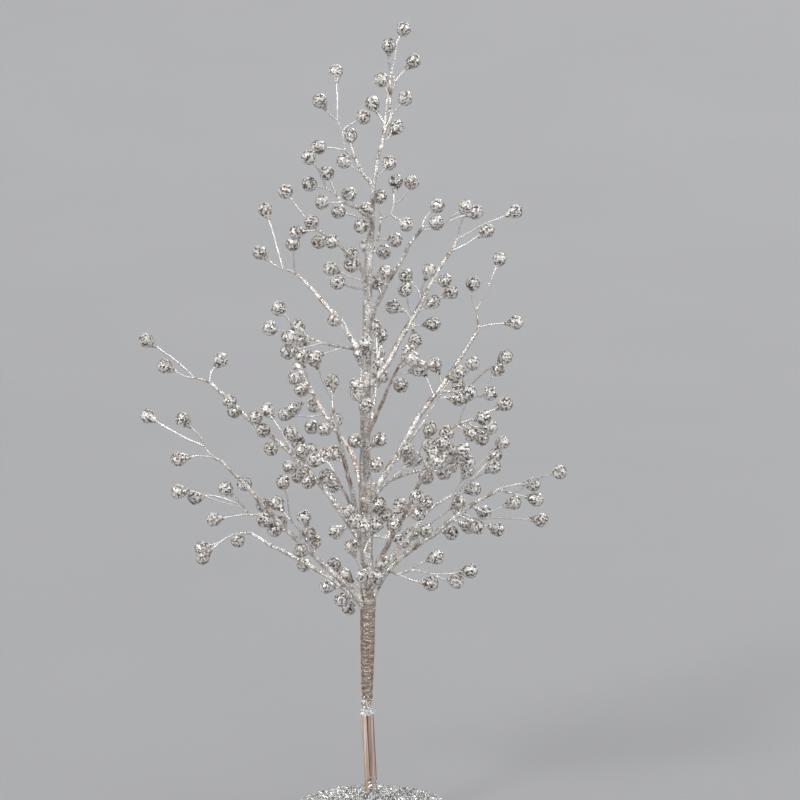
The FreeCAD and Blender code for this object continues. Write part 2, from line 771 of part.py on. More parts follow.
def base_weight():
    """The plaster slug inside the cover, with the rod's socket."""
    hole = CORE_RADIUS + CORE_CLEARANCE
    top = BASE_HEIGHT - SHELL_WALL
    radius = BASE_RADIUS - SHELL_WALL - WEIGHT_GAP
    inner = inner_round()
    return turned([
        edge((0, PAD_THICKNESS), (radius, PAD_THICKNESS)),
        edge((radius, PAD_THICKNESS), (radius, top - inner)),
        corner((radius - inner, top - inner), inner),
        edge((radius - inner, top), (hole, top)),
        edge((hole, top), (hole, top - CORE_SEAT_DEPTH)),
        edge((hole, top - CORE_SEAT_DEPTH), (0, top - CORE_SEAT_DEPTH)),
        edge((0, top - CORE_SEAT_DEPTH), (0, PAD_THICKNESS)),
    ])


def base_pad():
    """The felt disc under the weight."""
    return Part.makeCylinder(BASE_RADIUS - SHELL_WALL - WEIGHT_GAP, PAD_THICKNESS)


# Trunk

TRUNK_LINE = [place(entry, 0) for entry in TRUNK_PIXELS_AND_SHARES]
TRUNK_RADII = [TRUNK_RADIUS * entry[2] for entry in TRUNK_PIXELS_AND_SHARES]
FOOT = Vector(0, 0, BASE_HEIGHT)
LEAN = (TRUNK_LINE[0] - FOOT) / (TRUNK_LINE[0] - FOOT).z
SLEEVE_TOP = TRUNK_LINE[0] - LEAN * COLLAR_HEIGHT


def trunk_across(down):
    """The trunk's middle in the view, at a pixel row."""
    rows = TRUNK_PIXELS_AND_SHARES
    for below, above in zip(rows, rows[1:]):
        if down >= above[1]:
            return below[0] + (above[0] - below[0]) * (down - below[1]) / (above[1] - below[1])
    return rows[-1][0]


def trunk_core():
    """The steel rod, from its socket in the base to just under the trunk's tip."""
    seat = Vector(0, 0, BASE_HEIGHT - SHELL_WALL - CORE_SEAT_DEPTH)
    tip = TRUNK_LINE[-1] + (TRUNK_LINE[-2] - TRUNK_LINE[-1]).normalize() * TRUNK_TIP_COVER
    points = [seat, FOOT] + TRUNK_LINE[:-1] + [tip]
    return points, core_radii(points)


def core_radii(points):
    """The rod's radius at each point: even up to the collar, then tapering to the tip."""
    start = TRUNK_LINE[0].z
    rise = points[-1].z - start
    shares = [max(0.0, (point.z - start) / rise) for point in points]
    return [CORE_RADIUS + (CORE_TIP_RADIUS - CORE_RADIUS) * share for share in shares]


def rib_section(height):
    """The lower trunk's outline: ribs side by side in a ring, as bound rods make it."""
    reach = SLEEVE_RADIUS - SLEEVE_RIB_RADIUS
    half = math.pi / SLEEVE_RIBS
    valley = reach * math.cos(half) + math.sqrt(SLEEVE_RIB_RADIUS ** 2 - (reach * math.sin(half)) ** 2)
    arcs = []
    for index in range(SLEEVE_RIBS):
        middle = 2 * half * index
        start = Vector(valley * math.cos(middle - half), valley * math.sin(middle - half), height)
        top = Vector(SLEEVE_RADIUS * math.cos(middle), SLEEVE_RADIUS * math.sin(middle), height)
        end = Vector(valley * math.cos(middle + half), valley * math.sin(middle + half), height)
        arcs.append(Part.Arc(start, top, end).toShape())
    return Part.Wire(arcs)


def lower_sleeve():
    """The smooth ribbed wrap round the lower trunk, and the same bar without its bore."""
    hole = Part.Wire(Part.makeCircle(CORE_RADIUS + CORE_CLEARANCE, FOOT))
    section = rib_section(BASE_HEIGHT)
    bar = Part.Face(section).extrude(SLEEVE_TOP - FOOT)
    bore = Part.Face(hole).extrude(SLEEVE_TOP - FOOT)
    return bar.cut(bore), bar


def collar_band():
    """The glittered ring between the lower trunk and the foil."""
    hole = Part.Face(Part.Wire(Part.makeCircle(CORE_RADIUS + CORE_CLEARANCE, SLEEVE_TOP)))
    disc = Part.Face(Part.Wire(Part.makeCircle(COLLAR_RADIUS, SLEEVE_TOP)))
    return disc.extrude(LEAN * COLLAR_HEIGHT).cut(hole.extrude(LEAN * COLLAR_HEIGHT))


def foot_glue(sleeve_bar):
    """The glittered glue that runs up the trunk's foot."""
    top = BASE_HEIGHT + GLUE_HEIGHT
    waist = SLEEVE_RADIUS + GLUE_RIM
    low = BASE_HEIGHT + GLUE_EDGE
    flare = GLUE_RADIUS - waist
    sag = Vector(waist + flare * GLUE_SAG_SHARE, 0, low + (top - low) * GLUE_SAG_SHARE)
    slope = Part.Arc(Vector(waist, 0, top), sag, Vector(GLUE_RADIUS, 0, low)).toShape()
    mound = turned([
        edge((0, BASE_HEIGHT), (0, top)),
        edge((0, top), (waist, top)),
        slope,
        edge((GLUE_RADIUS, low), (GLUE_RADIUS, BASE_HEIGHT)),
        edge((GLUE_RADIUS, BASE_HEIGHT), (0, BASE_HEIGHT)),
    ])
    return mound.cut(sleeve_bar)


# Room between the pieces

class Room:
    """What is placed so far, as balls kept by cell, so that close ones are found fast."""

    def __init__(self):
        self.cell = 2 * max(BEAD_RADIUS, TRUNK_RADIUS) + PASSING_ROOM
        self.balls = {}

    def key(self, point):
        return (
            math.floor(point.x / self.cell),
            math.floor(point.y / self.cell),
            math.floor(point.z / self.cell),
        )

    def add(self, point, radius, owner):
        self.balls.setdefault(self.key(point), []).append((point.x, point.y, point.z, radius, owner))

    def reached(self, point, radius, ignored=None):
        """How far a ball would reach into the room that its neighbours keep."""
        deepest = 0.0
        x, y, z = point.x, point.y, point.z
        across, along, up = self.key(point)
        for i in (across - 1, across, across + 1):
            for j in (along - 1, along, along + 1):
                for k in (up - 1, up, up + 1):
                    for other in self.balls.get((i, j, k), ()):
                        if other[4] == ignored:
                            continue
                        apart = math.sqrt((x - other[0]) ** 2 + (y - other[1]) ** 2 + (z - other[2]) ** 2)
                        deepest = max(deepest, radius + other[3] + PASSING_ROOM - apart)
        return deepest


class Wire:
    """A stem, side arm or twig: its pixels with their depths, and its line and radii in space."""

    def __init__(self, pixels, depths, root_radius, tip_radius):
        self.pixels = pixels
        self.depths = depths
        self.line = smooth([place(pixel, depth) for pixel, depth in zip(pixels, depths)])
        self.radii = self.radii_along(root_radius, tip_radius)

    def radii_along(self, root_radius, tip_radius):
        gone = [0.0]
        for before, after in zip(self.line, self.line[1:]):
            gone.append(gone[-1] + (after - before).Length)
        return [root_radius + (tip_radius - root_radius) * length / gone[-1] for length in gone]

    def solid(self):
        return tube(self.line, self.radii)

    def segments(self):
        return list(zip(self.line, self.line[1:], self.radii, self.radii[1:]))

    def fill(self, room, owner):
        """Takes this wire's room."""
        step = 2 * TWIG_RADIUS
        for start, end, radius, end_radius in self.segments():
            for point, gone in resample([start, end], step):
                room.add(point, radius, owner)


def seated(line, radius, carriers):
    """The line with its start moved on, to where a bar with a flat end clears its carriers."""
    step = SEAT_CLEARANCE * 2
    samples = resample(line, step)
    close = [
        segment for wire in carriers for segment in wire.segments()
        if away(line[0], segment)[0] < segment[2] + 2 * SEAT_RADII * radius
    ]
    seat = None
    for (point, gone), (beyond, beyond_gone) in zip(samples, samples[1:]):
        heading = (beyond - point).normalize()
        clear = all(end_clears(point, heading, radius, segment) for segment in close)
        if clear and seat is None:
            seat = (point, gone)
        if seat is not None and not clear:
            return None
        if seat is not None and gone > seat[1] + SEAT_RADII * radius:
            break
    if seat is None:
        return None
    kept = [corner_point for corner_point, reached in corners_of(line) if reached > seat[1] + radius]
    return [seat[0]] + (kept or [line[-1]])


def corners_of(line):
    """Each point of a line with its distance from the start."""
    found = [(line[0], 0.0)]
    for before, after in zip(line, line[1:]):
        found.append((after, found[-1][1] + (after - before).Length))
    return found


def away(point, segment):
    """The distance from a point to a segment, the way out from it, and the segment's radius there."""
    start, end, radius, end_radius = segment
    along = end - start
    share = min(1.0, max(0.0, (point - start).dot(along) / along.dot(along)))
    out = point - (start + along * share)
    return out.Length, out, radius + (end_radius - radius) * share


def end_clears(point, heading, radius, segment):
    """Whether the flat end of a bar that heads this way clears a segment."""
    apart, out, other = away(point, segment)
    if apart <= other:
        return False
    facing = min(1.0, abs(heading.dot(out)) / apart)
    return apart - radius * math.sqrt(1 - facing * facing) >= other + SEAT_CLEARANCE


# Sprays

def stem_of(spray):
    """A spray's stem, from the trunk's middle to its tip."""
    pixels = list(spray["stem"])
    offset = abs(pixels[0][0] - trunk_across(pixels[0][1]))
    row = pixels[0][1] + offset
    if offset > ON_TRUNK_PIXELS and spray["name"] != "leader":
        pixels = [(trunk_across(row), row)] + pixels
    gone = travelled(pixels)
    depths = [spray["depth"] * (length / gone[-1]) ** STEM_OPENING_POWER for length in gone]
    girth = spray["girth"]
    return Wire(pixels, depths, STEM_ROOT_RADIUS * girth, STEM_TIP_RADIUS * girth)


def nearest(pixel, wires):
    """The place on some wires that shows nearest to a pixel: its pixel, its depth and its wire."""
    best = None
    for wire in wires:
        places = list(zip(wire.pixels, wire.depths))
        for (start, start_depth), (end, end_depth) in zip(places, places[1:]):
            length = span(start, end)
            dot = (pixel[0] - start[0]) * (end[0] - start[0]) + (pixel[1] - start[1]) * (end[1] - start[1])
            share = min(1.0, max(0.0, dot / (length * length)))
            spot = between(start, end, share)
            if best is None or span(spot, pixel) < best[0]:
                best = (span(spot, pixel), spot, start_depth + (end_depth - start_depth) * share, wire)
    return best[1:]


def lone_route(centre, wires):
    """The route of a twig that nothing gives: off its stem a little way back, with a bow."""
    spot, wire = nearest(centre, wires)[::2]
    neck = BEAD_LENGTH * BEAD_CENTRE_SHARE / PIXEL_SIZE
    back = max(BACK_SHARE * span(spot, centre), BACK_SHARE * neck)
    gone = travelled(wire.pixels)
    here = travelled_to(spot, wire.pixels)
    target = max(here - back, gone[-1] * BARE_STEM_SHARE)
    for index in range(len(gone) - 1):
        if gone[index + 1] >= target:
            share = (target - gone[index]) / (gone[index + 1] - gone[index])
            root = between(wire.pixels[index], wire.pixels[index + 1], max(share, 0.0))
            heading = between(wire.pixels[index], wire.pixels[index + 1], 1.0)
            length = span(wire.pixels[index], heading)
            along = tuple((b - a) / length for a, b in zip(wire.pixels[index], heading))
            reach = span(root, centre)
            middle = between(root, centre, 0.5)
            bowed = tuple(m + a * reach * BOW_SHARE for m, a in zip(middle, along))
            return [root, bowed, centre]
    return [spot, centre]


def travelled_to(spot, pixels):
    """How far along the line through some pixels a spot on it lies."""
    gone = 0.0
    closest = None
    for before, after in zip(pixels, pixels[1:]):
        length = span(before, after)
        detour = span(before, spot) + span(spot, after) - length
        if closest is None or detour < closest[0]:
            closest = (detour, gone + span(before, spot))
        gone += length
    return closest[1]


def depths_along(pixels, start, end):
    """Depths that go evenly from a line's start to its end."""
    gone = travelled(pixels)
    return [start + (end - start) * length / gone[-1] for length in gone]


def pushes():
    """Steps along the line of sight, nearest first, to both sides."""
    step = PUSH_SHARE * BEAD_RADIUS / PIXEL_SIZE
    yield 0.0
    for index in range(1, math.ceil(PUSH_TRIES / 2)):
        yield index * step
        yield -index * step


def limb_of(route, wires, girth, room, owner, lean):
    """A side arm along a route, leaned until it passes what is there."""
    spot, depth = nearest(route[0], wires)[:2]
    pixels = [spot] + list(route[1:])
    reach = travelled(pixels)[-1]
    radius = min(LIMB_RADIUS, STEM_TIP_RADIUS * girth)
    best = None
    for push in pushes():
        wire = Wire(pixels, depths_along(pixels, depth, depth + lean * reach + push), radius, TWIG_RADIUS)
        line = seated(wire.line, radius, wires)
        if line is None:
            continue
        wire.line = line
        wire.radii = wire.radii_along(radius, TWIG_RADIUS)
        reached = depth_reached(wire, room, owner)
        if best is None or reached < best[0]:
            best = (reached, wire)
        if reached <= 0:
            break
    return best


def depth_reached(wire, room, owner):
    """How far a wire would reach into its neighbours' room; its own spray counts past its root only."""
    deepest = 0.0
    for point, gone in resample(wire.line, 2 * TWIG_RADIUS):
        ignored = owner if gone < ROOT_RADII * TWIG_RADIUS else None
        deepest = max(deepest, room.reached(point, TWIG_RADIUS, ignored))
    return deepest


class Twig:
    """A twig wire and the drop bead on its end."""

    def __init__(self, pixels, depths, wires, turn):
        self.ready = False
        middle = place(pixels[-1], depths[-1])
        neck_reach = BEAD_LENGTH * BEAD_CENTRE_SHARE
        keep = [(pixel, depth) for pixel, depth in zip(pixels[:-1], depths[:-1])
                if (place(pixel, depth) - middle).Length > neck_reach + SOCKET_DEPTH]
        if not keep:
            return
        self.wire = Wire([entry[0] for entry in keep] + [pixels[-1]],
                         [entry[1] for entry in keep] + [depths[-1]], TWIG_RADIUS, TWIG_RADIUS)
        centre = place(pixels[-1], depths[-1] - neck_reach * math.sin(turn) / PIXEL_SIZE)
        along = (middle - place(*keep[-1])).normalize()
        sight = Vector(*view_ray(pixels[-1])).normalize()
        self.axis = (along * math.cos(turn) - sight * math.sin(turn)).normalize()
        self.neck = centre - self.axis * neck_reach
        run_in = self.neck - self.axis * SOCKET_DEPTH / 2
        end = self.neck + self.axis * (SOCKET_DEPTH - SOCKET_CLEARANCE)
        free = [point for point in self.wire.line[:-1] if (point - middle).Length > (run_in - middle).Length]
        line = seated(free + [run_in, end], TWIG_RADIUS, wires)
        if line is None or (line[0] - end).Length < 2 * SOCKET_DEPTH:
            return
        self.wire.line = line
        self.wire.radii = [TWIG_RADIUS] * len(line)
        self.centre = centre
        self.ready = self.passes_own_bead()

    def passes_own_bead(self):
        """Whether the twig reaches its bead's neck without running into the bead's side."""
        if len(self.wire.line) > 2:
            before, run_in = self.wire.line[-3:-1]
            if (run_in - before).getAngle(self.axis) > math.radians(SHARPEST_BEND_DEG):
                return False
        body, shoulder = self.balls()[:2]
        for point, gone in resample(self.wire.line[:-1], TWIG_RADIUS):
            for middle, radius in (body, shoulder):
                if (point - middle).Length < radius + TWIG_RADIUS + SEAT_CLEARANCE:
                    return False
        return True

    def balls(self):
        """The bead as balls: its body, its shoulder and its neck."""
        neck_reach = BEAD_LENGTH * BEAD_CENTRE_SHARE
        shoulder = self.centre - self.axis * neck_reach / 2
        return [
            (self.centre, BEAD_RADIUS),
            (shoulder, BEAD_RADIUS * SHOULDER_THICK_SHARE),
            (self.neck, BEAD_RADIUS * NECK_THICK_SHARE),
        ]

    def reached(self, room, owner):
        """How far the twig and its bead would reach into their neighbours' room."""
        deepest = max(room.reached(point, radius) for point, radius in self.balls())
        if deepest > BEAD_RADIUS:
            return deepest
        return max(deepest, depth_reached(self.wire, room, owner))

    def bead(self, drop):
        shape = drop.copy()
        shape.Placement = FreeCAD.Placement(self.neck, FreeCAD.Rotation(UP, self.axis))
        return shape


def twig_of(route, wires, room, owner, lean, side):
    """A twig along a route, its bead pushed along the line of sight until both pass what is there."""
    spot, depth = nearest(route[0], wires)[:2]
    pixels = [spot] + list(route[1:])
    reach = travelled(pixels)[-1]
    turns = FACING_TURNS_DEG if route[-1] in FACING_BEAD_PIXELS else FACING_TURNS_DEG[-1:]
    best = None
    for turn in turns:
        for push in pushes():
            depths = depths_along(pixels, depth, depth + lean * reach + push * side)
            twig = Twig(pixels, depths, wires, math.radians(turn))
            if not twig.ready:
                continue
            reached = twig.reached(room, owner)
            if best is None or reached < best[0]:
                best = (reached, twig)
            if reached <= 0:
                return best
    return best


def drop_bead():
    """One faceted drop, standing on its neck, with the socket that the wire's end is glued in."""
    bore = TWIG_RADIUS + SOCKET_CLEARANCE
    points = [(0, SOCKET_DEPTH), (bore, SOCKET_DEPTH), (bore, 0)]
    points += [(out * BEAD_RADIUS, up * BEAD_LENGTH) for up, out in BEAD_OUTLINE_SHARES]
    points.append((0, BEAD_LENGTH))
    return turned(outline(points))


def grow(trunk):
    """Every spray's wires and twigs, each placed clear of the ones before it."""
    room = Room()
    trunk.fill(room, "trunk")
    grown = []
    for spray in SPRAYS:
        stem = stem_of(spray)
        grown.append({"name": spray["name"], "spray": spray, "wires": [stem], "twigs": []})
    for entry in grown:
        entry["wires"][0].fill(room, entry["name"])
    count = 0
    for entry in grown:
        for route in entry["spray"].get("limbs", []):
            reached, limb = limb_of(route, entry["wires"], entry["spray"]["girth"], room, entry["name"], 0.0)
            limb.fill(room, entry["name"])
            entry["wires"].append(limb)
            if reached > PASSING_ROOM:
                print("close limb", entry["name"], route[0], round(reached, 2))
    for entry in grown:
        spray = entry["spray"]
        limbs = list(entry["wires"])
        routes = list(spray.get("twigs", []))
        routes += [lone_route(centre, limbs) for centre in spray.get("beads", [])]
        for route in routes:
            count += 1
            lean = LEAN_SHARE * math.sin(LEAN_TURN * count)
            side = 1 if lean > 0 else -1
            found = twig_of(route, entry["wires"], room, entry["name"], lean, side)
            if found is None:
                print("no room for", entry["name"], route[-1])
                continue
            reached, twig = found
            twig.wire.fill(room, entry["name"])
            for point, radius in twig.balls():
                room.add(point, radius, "bead")
            entry["wires"].append(twig.wire)
            entry["twigs"].append(twig)
            if reached > PASSING_ROOM:
                print("close bead", entry["name"], route[-1], round(reached, 2))
    return grown


def touching(wire, other):
    """Whether two wires come within their radii of each other."""
    for point, gone in resample(wire.line, STEM_TIP_RADIUS):
        for segment in other.segments():
            apart, out, radius = away(point, segment)
            if apart < radius + wire.radii[0]:
                return True
    return False


def save(name, shape):
    """Writes one node's solid, or its group of solids."""
    shape.exportStep("parts/" + name + ".step")


def main():
    os.makedirs("parts", exist_ok=True)
    save("base_shell", base_shell())
    save("base_weight", base_weight())
    save("base_pad", base_pad())

    core_points, radii = trunk_core()
    save("trunk_core", tube(core_points, radii))
    clearance_bore = tube(core_points, [radius + CORE_CLEARANCE for radius in radii])
    trunk_bar = tube(TRUNK_LINE, TRUNK_RADII, level_start=True)
    save("trunk_foil", largest(trunk_bar.cut(clearance_bore)))
    sleeve, sleeve_bar = lower_sleeve()
    save("lower_sleeve", sleeve)
    save("collar_band", collar_band())
    save("foot_glue", foot_glue(sleeve_bar))

    pixels = [entry[:2] for entry in TRUNK_PIXELS_AND_SHARES]
    trunk = Wire(pixels, [0] * len(pixels), TRUNK_RADII[0], TRUNK_RADII[-1])
    trunk.line = TRUNK_LINE
    trunk.radii = TRUNK_RADII
    grown = grow(trunk)
    drop = drop_bead()
    stems = []
    beads = 0
    for entry in grown:
        stem_wire = entry["wires"][0]
        stem = stem_wire.solid().cut(trunk_bar)
        for other_wire, other in stems:
            if touching(stem_wire, other_wire):
                stem = largest(stem).cut(other)
        stem = largest(stem)
        stems.append((stem_wire, stem))
        solids = [stem] + [wire.solid() for wire in entry["wires"][1:]]
        save(entry["name"] + "_wires", Part.makeCompound(solids))
        save(entry["name"] + "_beads", Part.makeCompound([twig.bead(drop) for twig in entry["twigs"]]))
        beads += len(entry["twigs"])
    print("sprays", len(grown), "beads", beads)


main()
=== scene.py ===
"""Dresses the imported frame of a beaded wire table-top tree, and sets its floor, lights and camera.

Metres, with +Z up. The front is seen by looking along +Y.
"""
import math
import random

import bmesh
import bpy
import numpy as np
from mathutils import Matrix, Vector, noise


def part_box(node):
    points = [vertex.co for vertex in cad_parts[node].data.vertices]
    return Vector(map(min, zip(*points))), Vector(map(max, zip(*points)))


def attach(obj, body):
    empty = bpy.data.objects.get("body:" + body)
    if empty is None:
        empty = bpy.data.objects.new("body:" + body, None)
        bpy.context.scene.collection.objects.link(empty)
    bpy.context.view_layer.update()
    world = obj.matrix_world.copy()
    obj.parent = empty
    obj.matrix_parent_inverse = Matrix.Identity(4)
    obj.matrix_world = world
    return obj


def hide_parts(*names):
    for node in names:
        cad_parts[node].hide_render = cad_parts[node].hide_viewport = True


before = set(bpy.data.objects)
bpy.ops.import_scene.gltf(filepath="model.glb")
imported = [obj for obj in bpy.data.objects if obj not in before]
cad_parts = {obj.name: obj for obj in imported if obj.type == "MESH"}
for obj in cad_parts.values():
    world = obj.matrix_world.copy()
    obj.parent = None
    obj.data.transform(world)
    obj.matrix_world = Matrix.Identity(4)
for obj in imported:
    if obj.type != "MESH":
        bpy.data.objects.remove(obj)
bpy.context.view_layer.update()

MM = 0.001
HAIR = 0.005 * MM
TINY = 1e-15
AXIS_NUDGE = 1e-6
NEAR_UPRIGHT = 0.1
RANDOM = random.Random(7)
NOISE_SHIFTS = (3.1, 1.7, 2.3)
# Points made for each stretch between two given ones
STRAIGHT_POINTS = 24
CURVED_POINTS = 16

# View of the photograph: it looks a little down at the tree with a long lens
VIEW_TILT_DEG = 8.3
VIEW_FOCAL_PIXELS = 2650.0
IMAGE_PIXELS = 800.0
VIEW_SPOT = (15.88 * MM, -1454.1 * MM, 460.9 * MM)
VIEW_REACH = 20.0
SENSOR_WIDTH = 36.0

# Stage: a floor that bends up behind, and suns by name, heading, size in degrees and strength
FLOOR_REACH = 30.0
CURVE_START = 1.5
CURVE_RADIUS = 8.0
CURVE_DEG = 55
CURVE_STEPS = 40
FLOOR_COLOUR = (0.37, 0.37, 0.38)
FLOOR_MOTTLE_SHARE = 0.97
BACKDROP_COLOUR = (0.443, 0.445, 0.452)
SUNS = (
    ("key", (-0.75, -1.0, 0.9), 12, 1.1),
    ("fill", (1.1, -0.8, 0.5), 20, 0.4),
    ("rim", (0.5, 0.9, 0.8), 12, 0.6),
)
STUDIO_STOPS = [(0.38, (0.14, 0.145, 0.15)), (0.46, (0.55, 0.56, 0.57)), (0.56, (1.0, 1.0, 1.0))]
STUDIO_PATCHES = 2.6
STUDIO_STRENGTH = 1.2

# How a CAD bar is followed: cut across at even steps, until the cut changes or ends
WELD_DIGITS = 7
CUT_STEP = 1.0 * MM
CUT_REACH = 2.4
CUT_CHANGE = 1.3
CUT_TRIES = 2
MOST_CUTS = 260
LEAST_CAP_POINTS = 3
CAP_REACH = 4.0 * MM
SLIVER_SHARE = 0.001
FLAT_WITHIN = 0.008 * MM
SHORTER_STEPS = (1.0, 0.5, 0.25)
FLAT_UNEVEN = 0.3
TWIG_RUN_IN = 1.4 * MM

# Twisted wires, and the nubs on them: a chance for each stretch of wire, and one at the root
WIRE_STEP = 0.34 * MM
WIRE_SIDES = 8
WIRE_TWIST_PITCH = 3.0 * MM
WIRE_STRAND_SHARE = 0.56
WIRE_THICK_SHARE = 1.42
WIRE_UNEVEN = 0.12
WIRE_UNEVEN_SCALE = 2.6 * MM
WIRE_WOBBLE = 0.22 * MM
WIRE_WOBBLE_SCALE = 4.0 * MM
WIRE_STEADY_END = 5.0 * MM
WIRE_ROOT_REACH = 1.3 * MM
NUB_CHANCE = 0.16
NUB_STRETCH = 10.0 * MM
NUB_PLACE_SHARES = (0.3, 0.75)
NUB_RADIUS = 0.72 * MM
NUB_SIZE_SHARES = (0.8, 1.2)
NUB_UNEVEN = 0.25
NUB_SEED_SCALE = 900
ROOT_NUB_CHANCE = 0.55
ROOT_NUB_SIZE_SHARES = (0.9, 1.5)
SEEDS_PER_SPRAY = 40
SEED_STEP = 0.37

# Short wire ends that stick out of a stem
BURR_LENGTH = 1.1 * MM
BURR_LENGTH_SHARES = (0.5, 1.2)
BURR_RADIUS = 0.16 * MM
BURR_TAPER_SHARES = (1.0, 0.8, 0.4)
BURR_SIDES = 5
BURR_SPACING = 11.0 * MM
BURR_LEAN = 1.2
BURR_SUNK_SHARE = 0.6
BURR_FREE_PARTS = 8

# Foil-wrapped stems: strands show under the foil, a lapped edge winds round, and crinkles cover both
STEM_LEAST_RADIUS = 0.95 * MM
STEM_STEP = 0.36 * MM
STEM_SIDES = 14
STEM_CORE_SHARE = 0.93
STEM_STRANDS = 3
STEM_STRAND_SHARE = 0.1
STEM_STRAND_LENGTH = 2.4 * MM
STEM_WRAP_PITCH = 3.6 * MM
STEM_WRAP_LIFT = 0.16 * MM
STEM_LAP_SHARE = 0.12
STEM_CRINKLE = 0.17 * MM
STEM_FINE_SCALE = 0.9 * MM
STEM_BROAD_SCALE = 2.2 * MM
STEM_BROAD_SHARE = 0.6
STEM_FULL_RADIUS = 1.2 * MM
STEM_WOBBLE = 0.2 * MM
STEM_WOBBLE_SCALE = 9.0 * MM
STEM_ROOT_REACH = 2.6 * MM
STEM_TIP_LENGTH = 0.8 * MM
STEM_TIP_SHARE = 0.35
# Sprays whose stems get a warmer copy of the foil: painted warm reflection
WARM_REFLECTION_STEMS = ("right_mid", "left_cluster", "right_cluster")

# Trunk, and the warm streaks up its two sides, which are painted warm reflection on its edges
RING_GAP = 2.0 * MM
TRUNK_STEP = 0.42 * MM
TRUNK_SIDES = 56
TRUNK_WRAP_PITCH = 4.4 * MM
TRUNK_WRAP_LIFT = 0.24 * MM
TRUNK_LAP_SHARE = 0.08
TRUNK_LAP_LEVEL = 0.6
TRUNK_CRINKLE = 0.26 * MM
TRUNK_FINE_SCALE = 1.3 * MM
TRUNK_FINE_SHARE = 0.7
TRUNK_BROAD_SCALE = 4.5 * MM
TRUNK_BROAD_SHARE = 0.6
TRUNK_RIDGES = 7
TRUNK_RIDGE_LIFT = 0.3 * MM
TRUNK_DRIFT = 0.35
TRUNK_DRIFT_LENGTH = 31.0 * MM
PAINTED_REFLECTION_SIDES_DEG = (14, 168)
PAINTED_REFLECTION_HALF_DEG = 21
PAINTED_REFLECTION_UNEVEN = 0.5
PAINTED_REFLECTION_UNEVEN_SCALE = 7.0 * MM

# Sleeve: its folds, and the bands round it that look other than the rest: painted shade, as darker copies of
# the satin down one side and dark painted shade in the open groove
SLEEVE_STEP = 1.2 * MM
SLEEVE_SIDES = 96
SLEEVE_RIM = 0.1 * MM
SLEEVE_FULL_SHARE = 0.995
SLEEVE_UNEVEN = 0.04 * MM
SLEEVE_UNEVEN_SCALE = 6.0 * MM
SLEEVE_SWAY = 0.05
SLEEVE_SWAY_LENGTH = 17.0 * MM
SLEEVE_FOLDS_DEG = (6, 86, 130, 172, 236, 300)
SLEEVE_FOLD_WIDTH = 0.15
SLEEVE_FOLD_DEPTH_SHARE = 0.12
SLEEVE_OPEN_FOLD_DEG = 86
SLEEVE_OPEN_DEPTH_SHARE = 0.14
SLEEVE_PAINTED_SHADE_DEG = (93, 122)
SLEEVE_PAINTED_GROOVE_SHADE_DEG = (79, 93)
SLEEVE_PAINTED_HALF_SHADE_DEG = (122, 148)
SLEEVE_PAINTED_EDGE_SHADE_DEG = (148, 188)

# Beads: share of the way from neck to crown, and share of the widest radius, ring by ring
BEAD_SIDES = 16
BEAD_RING_SHARES = [
    (0.00, 0.28), (0.09, 0.33), (0.18, 0.45), (0.27, 0.63), (0.36, 0.80), (0.45, 0.92), (0.54, 0.99),
    (0.63, 1.01), (0.72, 0.97), (0.80, 0.87), (0.87, 0.73), (0.93, 0.53), (0.98, 0.28),
]
BEAD_WIDTH_SHARE = 1.02
BEAD_SIZE_SPREAD = 0.03
BEAD_UNEVEN = 0.045
LOOP_RADIUS = 0.5 * MM
LOOP_WIRE = 0.19 * MM
LOOP_SIDES = 5
LOOP_POINTS = 26
LOOP_TURNS = 2.5
LOOP_RISE = 1.1 * MM
LOOP_LOW_SHARE = 0.9
LOOP_ASIDE = (0.3, 0.9, 0.2)

# Glitter: five-cornered flakes, and the coat that they lie in
FLAKE_SIDES = 5
FLAKE_SIZE = 0.42 * MM
FLAKE_SIZE_SHARES = (0.55, 1.15)
FLAKE_LIFT_SHARE = 0.25
FLAKE_ASIDE = (0.21, 0.5, 0.84)
FLAKE_TILT = 0.62
COAT_GRAIN = 0.12 * MM
COAT_GRAIN_SCALE = 1.1 * MM
BASE_TILT = 1.1
BASE_FLAKES = 38000
BASE_EDGE = 2.2 * MM
BASE_SIDE_RINGS, BASE_EDGE_RINGS, BASE_TOP_RINGS = 10, 8, 30
BASE_SIDES = 150
BASE_UNDERCUT = 1.6 * MM
BASE_SOLE = 0.2 * MM
BASE_SIDE_START = 1.2 * MM
BASE_HOLE = 3.0 * MM
BASE_BARE_SHARE = 0.4
COAT_SKIN = 0.12 * MM
SIDE_FLAKES = 14000
SIDE_FLAKES_START = 0.4 * MM
SIDE_BARE_SHARE = 0.7

# The glue at the trunk's foot, and the glitter that creeps up the sleeve from it
FOOT_FLAKES = 2600
FOOT_RINGS = 22
FOOT_SIDES = 60
FOOT_FLARE = 2.6
FOOT_WAIST_SHARE = 0.42
FOOT_LIP_SHARE = 0.8
FOOT_GRAIN = 0.15 * MM
FOOT_CROWDING = 1.5
FOOT_NORMAL_RISE = 0.7
CREEP_FLAKES = 420
CREEP_HEIGHT = 9.0 * MM
CREEP_LIFT = 0.15 * MM
CREEP_CROWDING = 1.6
CREEP_SIDE_DEG = 140
CREEP_SPREAD_DEG = 42

# The bright collar, and the glitter that creeps up the trunk from it
COLLAR_FLAKES = 1300
COLLAR_RINGS = 12
COLLAR_SIDES = 48
COLLAR_HOLE_SHARE = 0.3
COLLAR_EDGE_SHARE = 0.84
COLLAR_BULGE_SHARE = 0.13
COLLAR_CREEP_FLAKES = 460
COLLAR_CREEP_CROWDING = 2
COLLAR_CREEP_SHARE = 1.03


# Small helpers

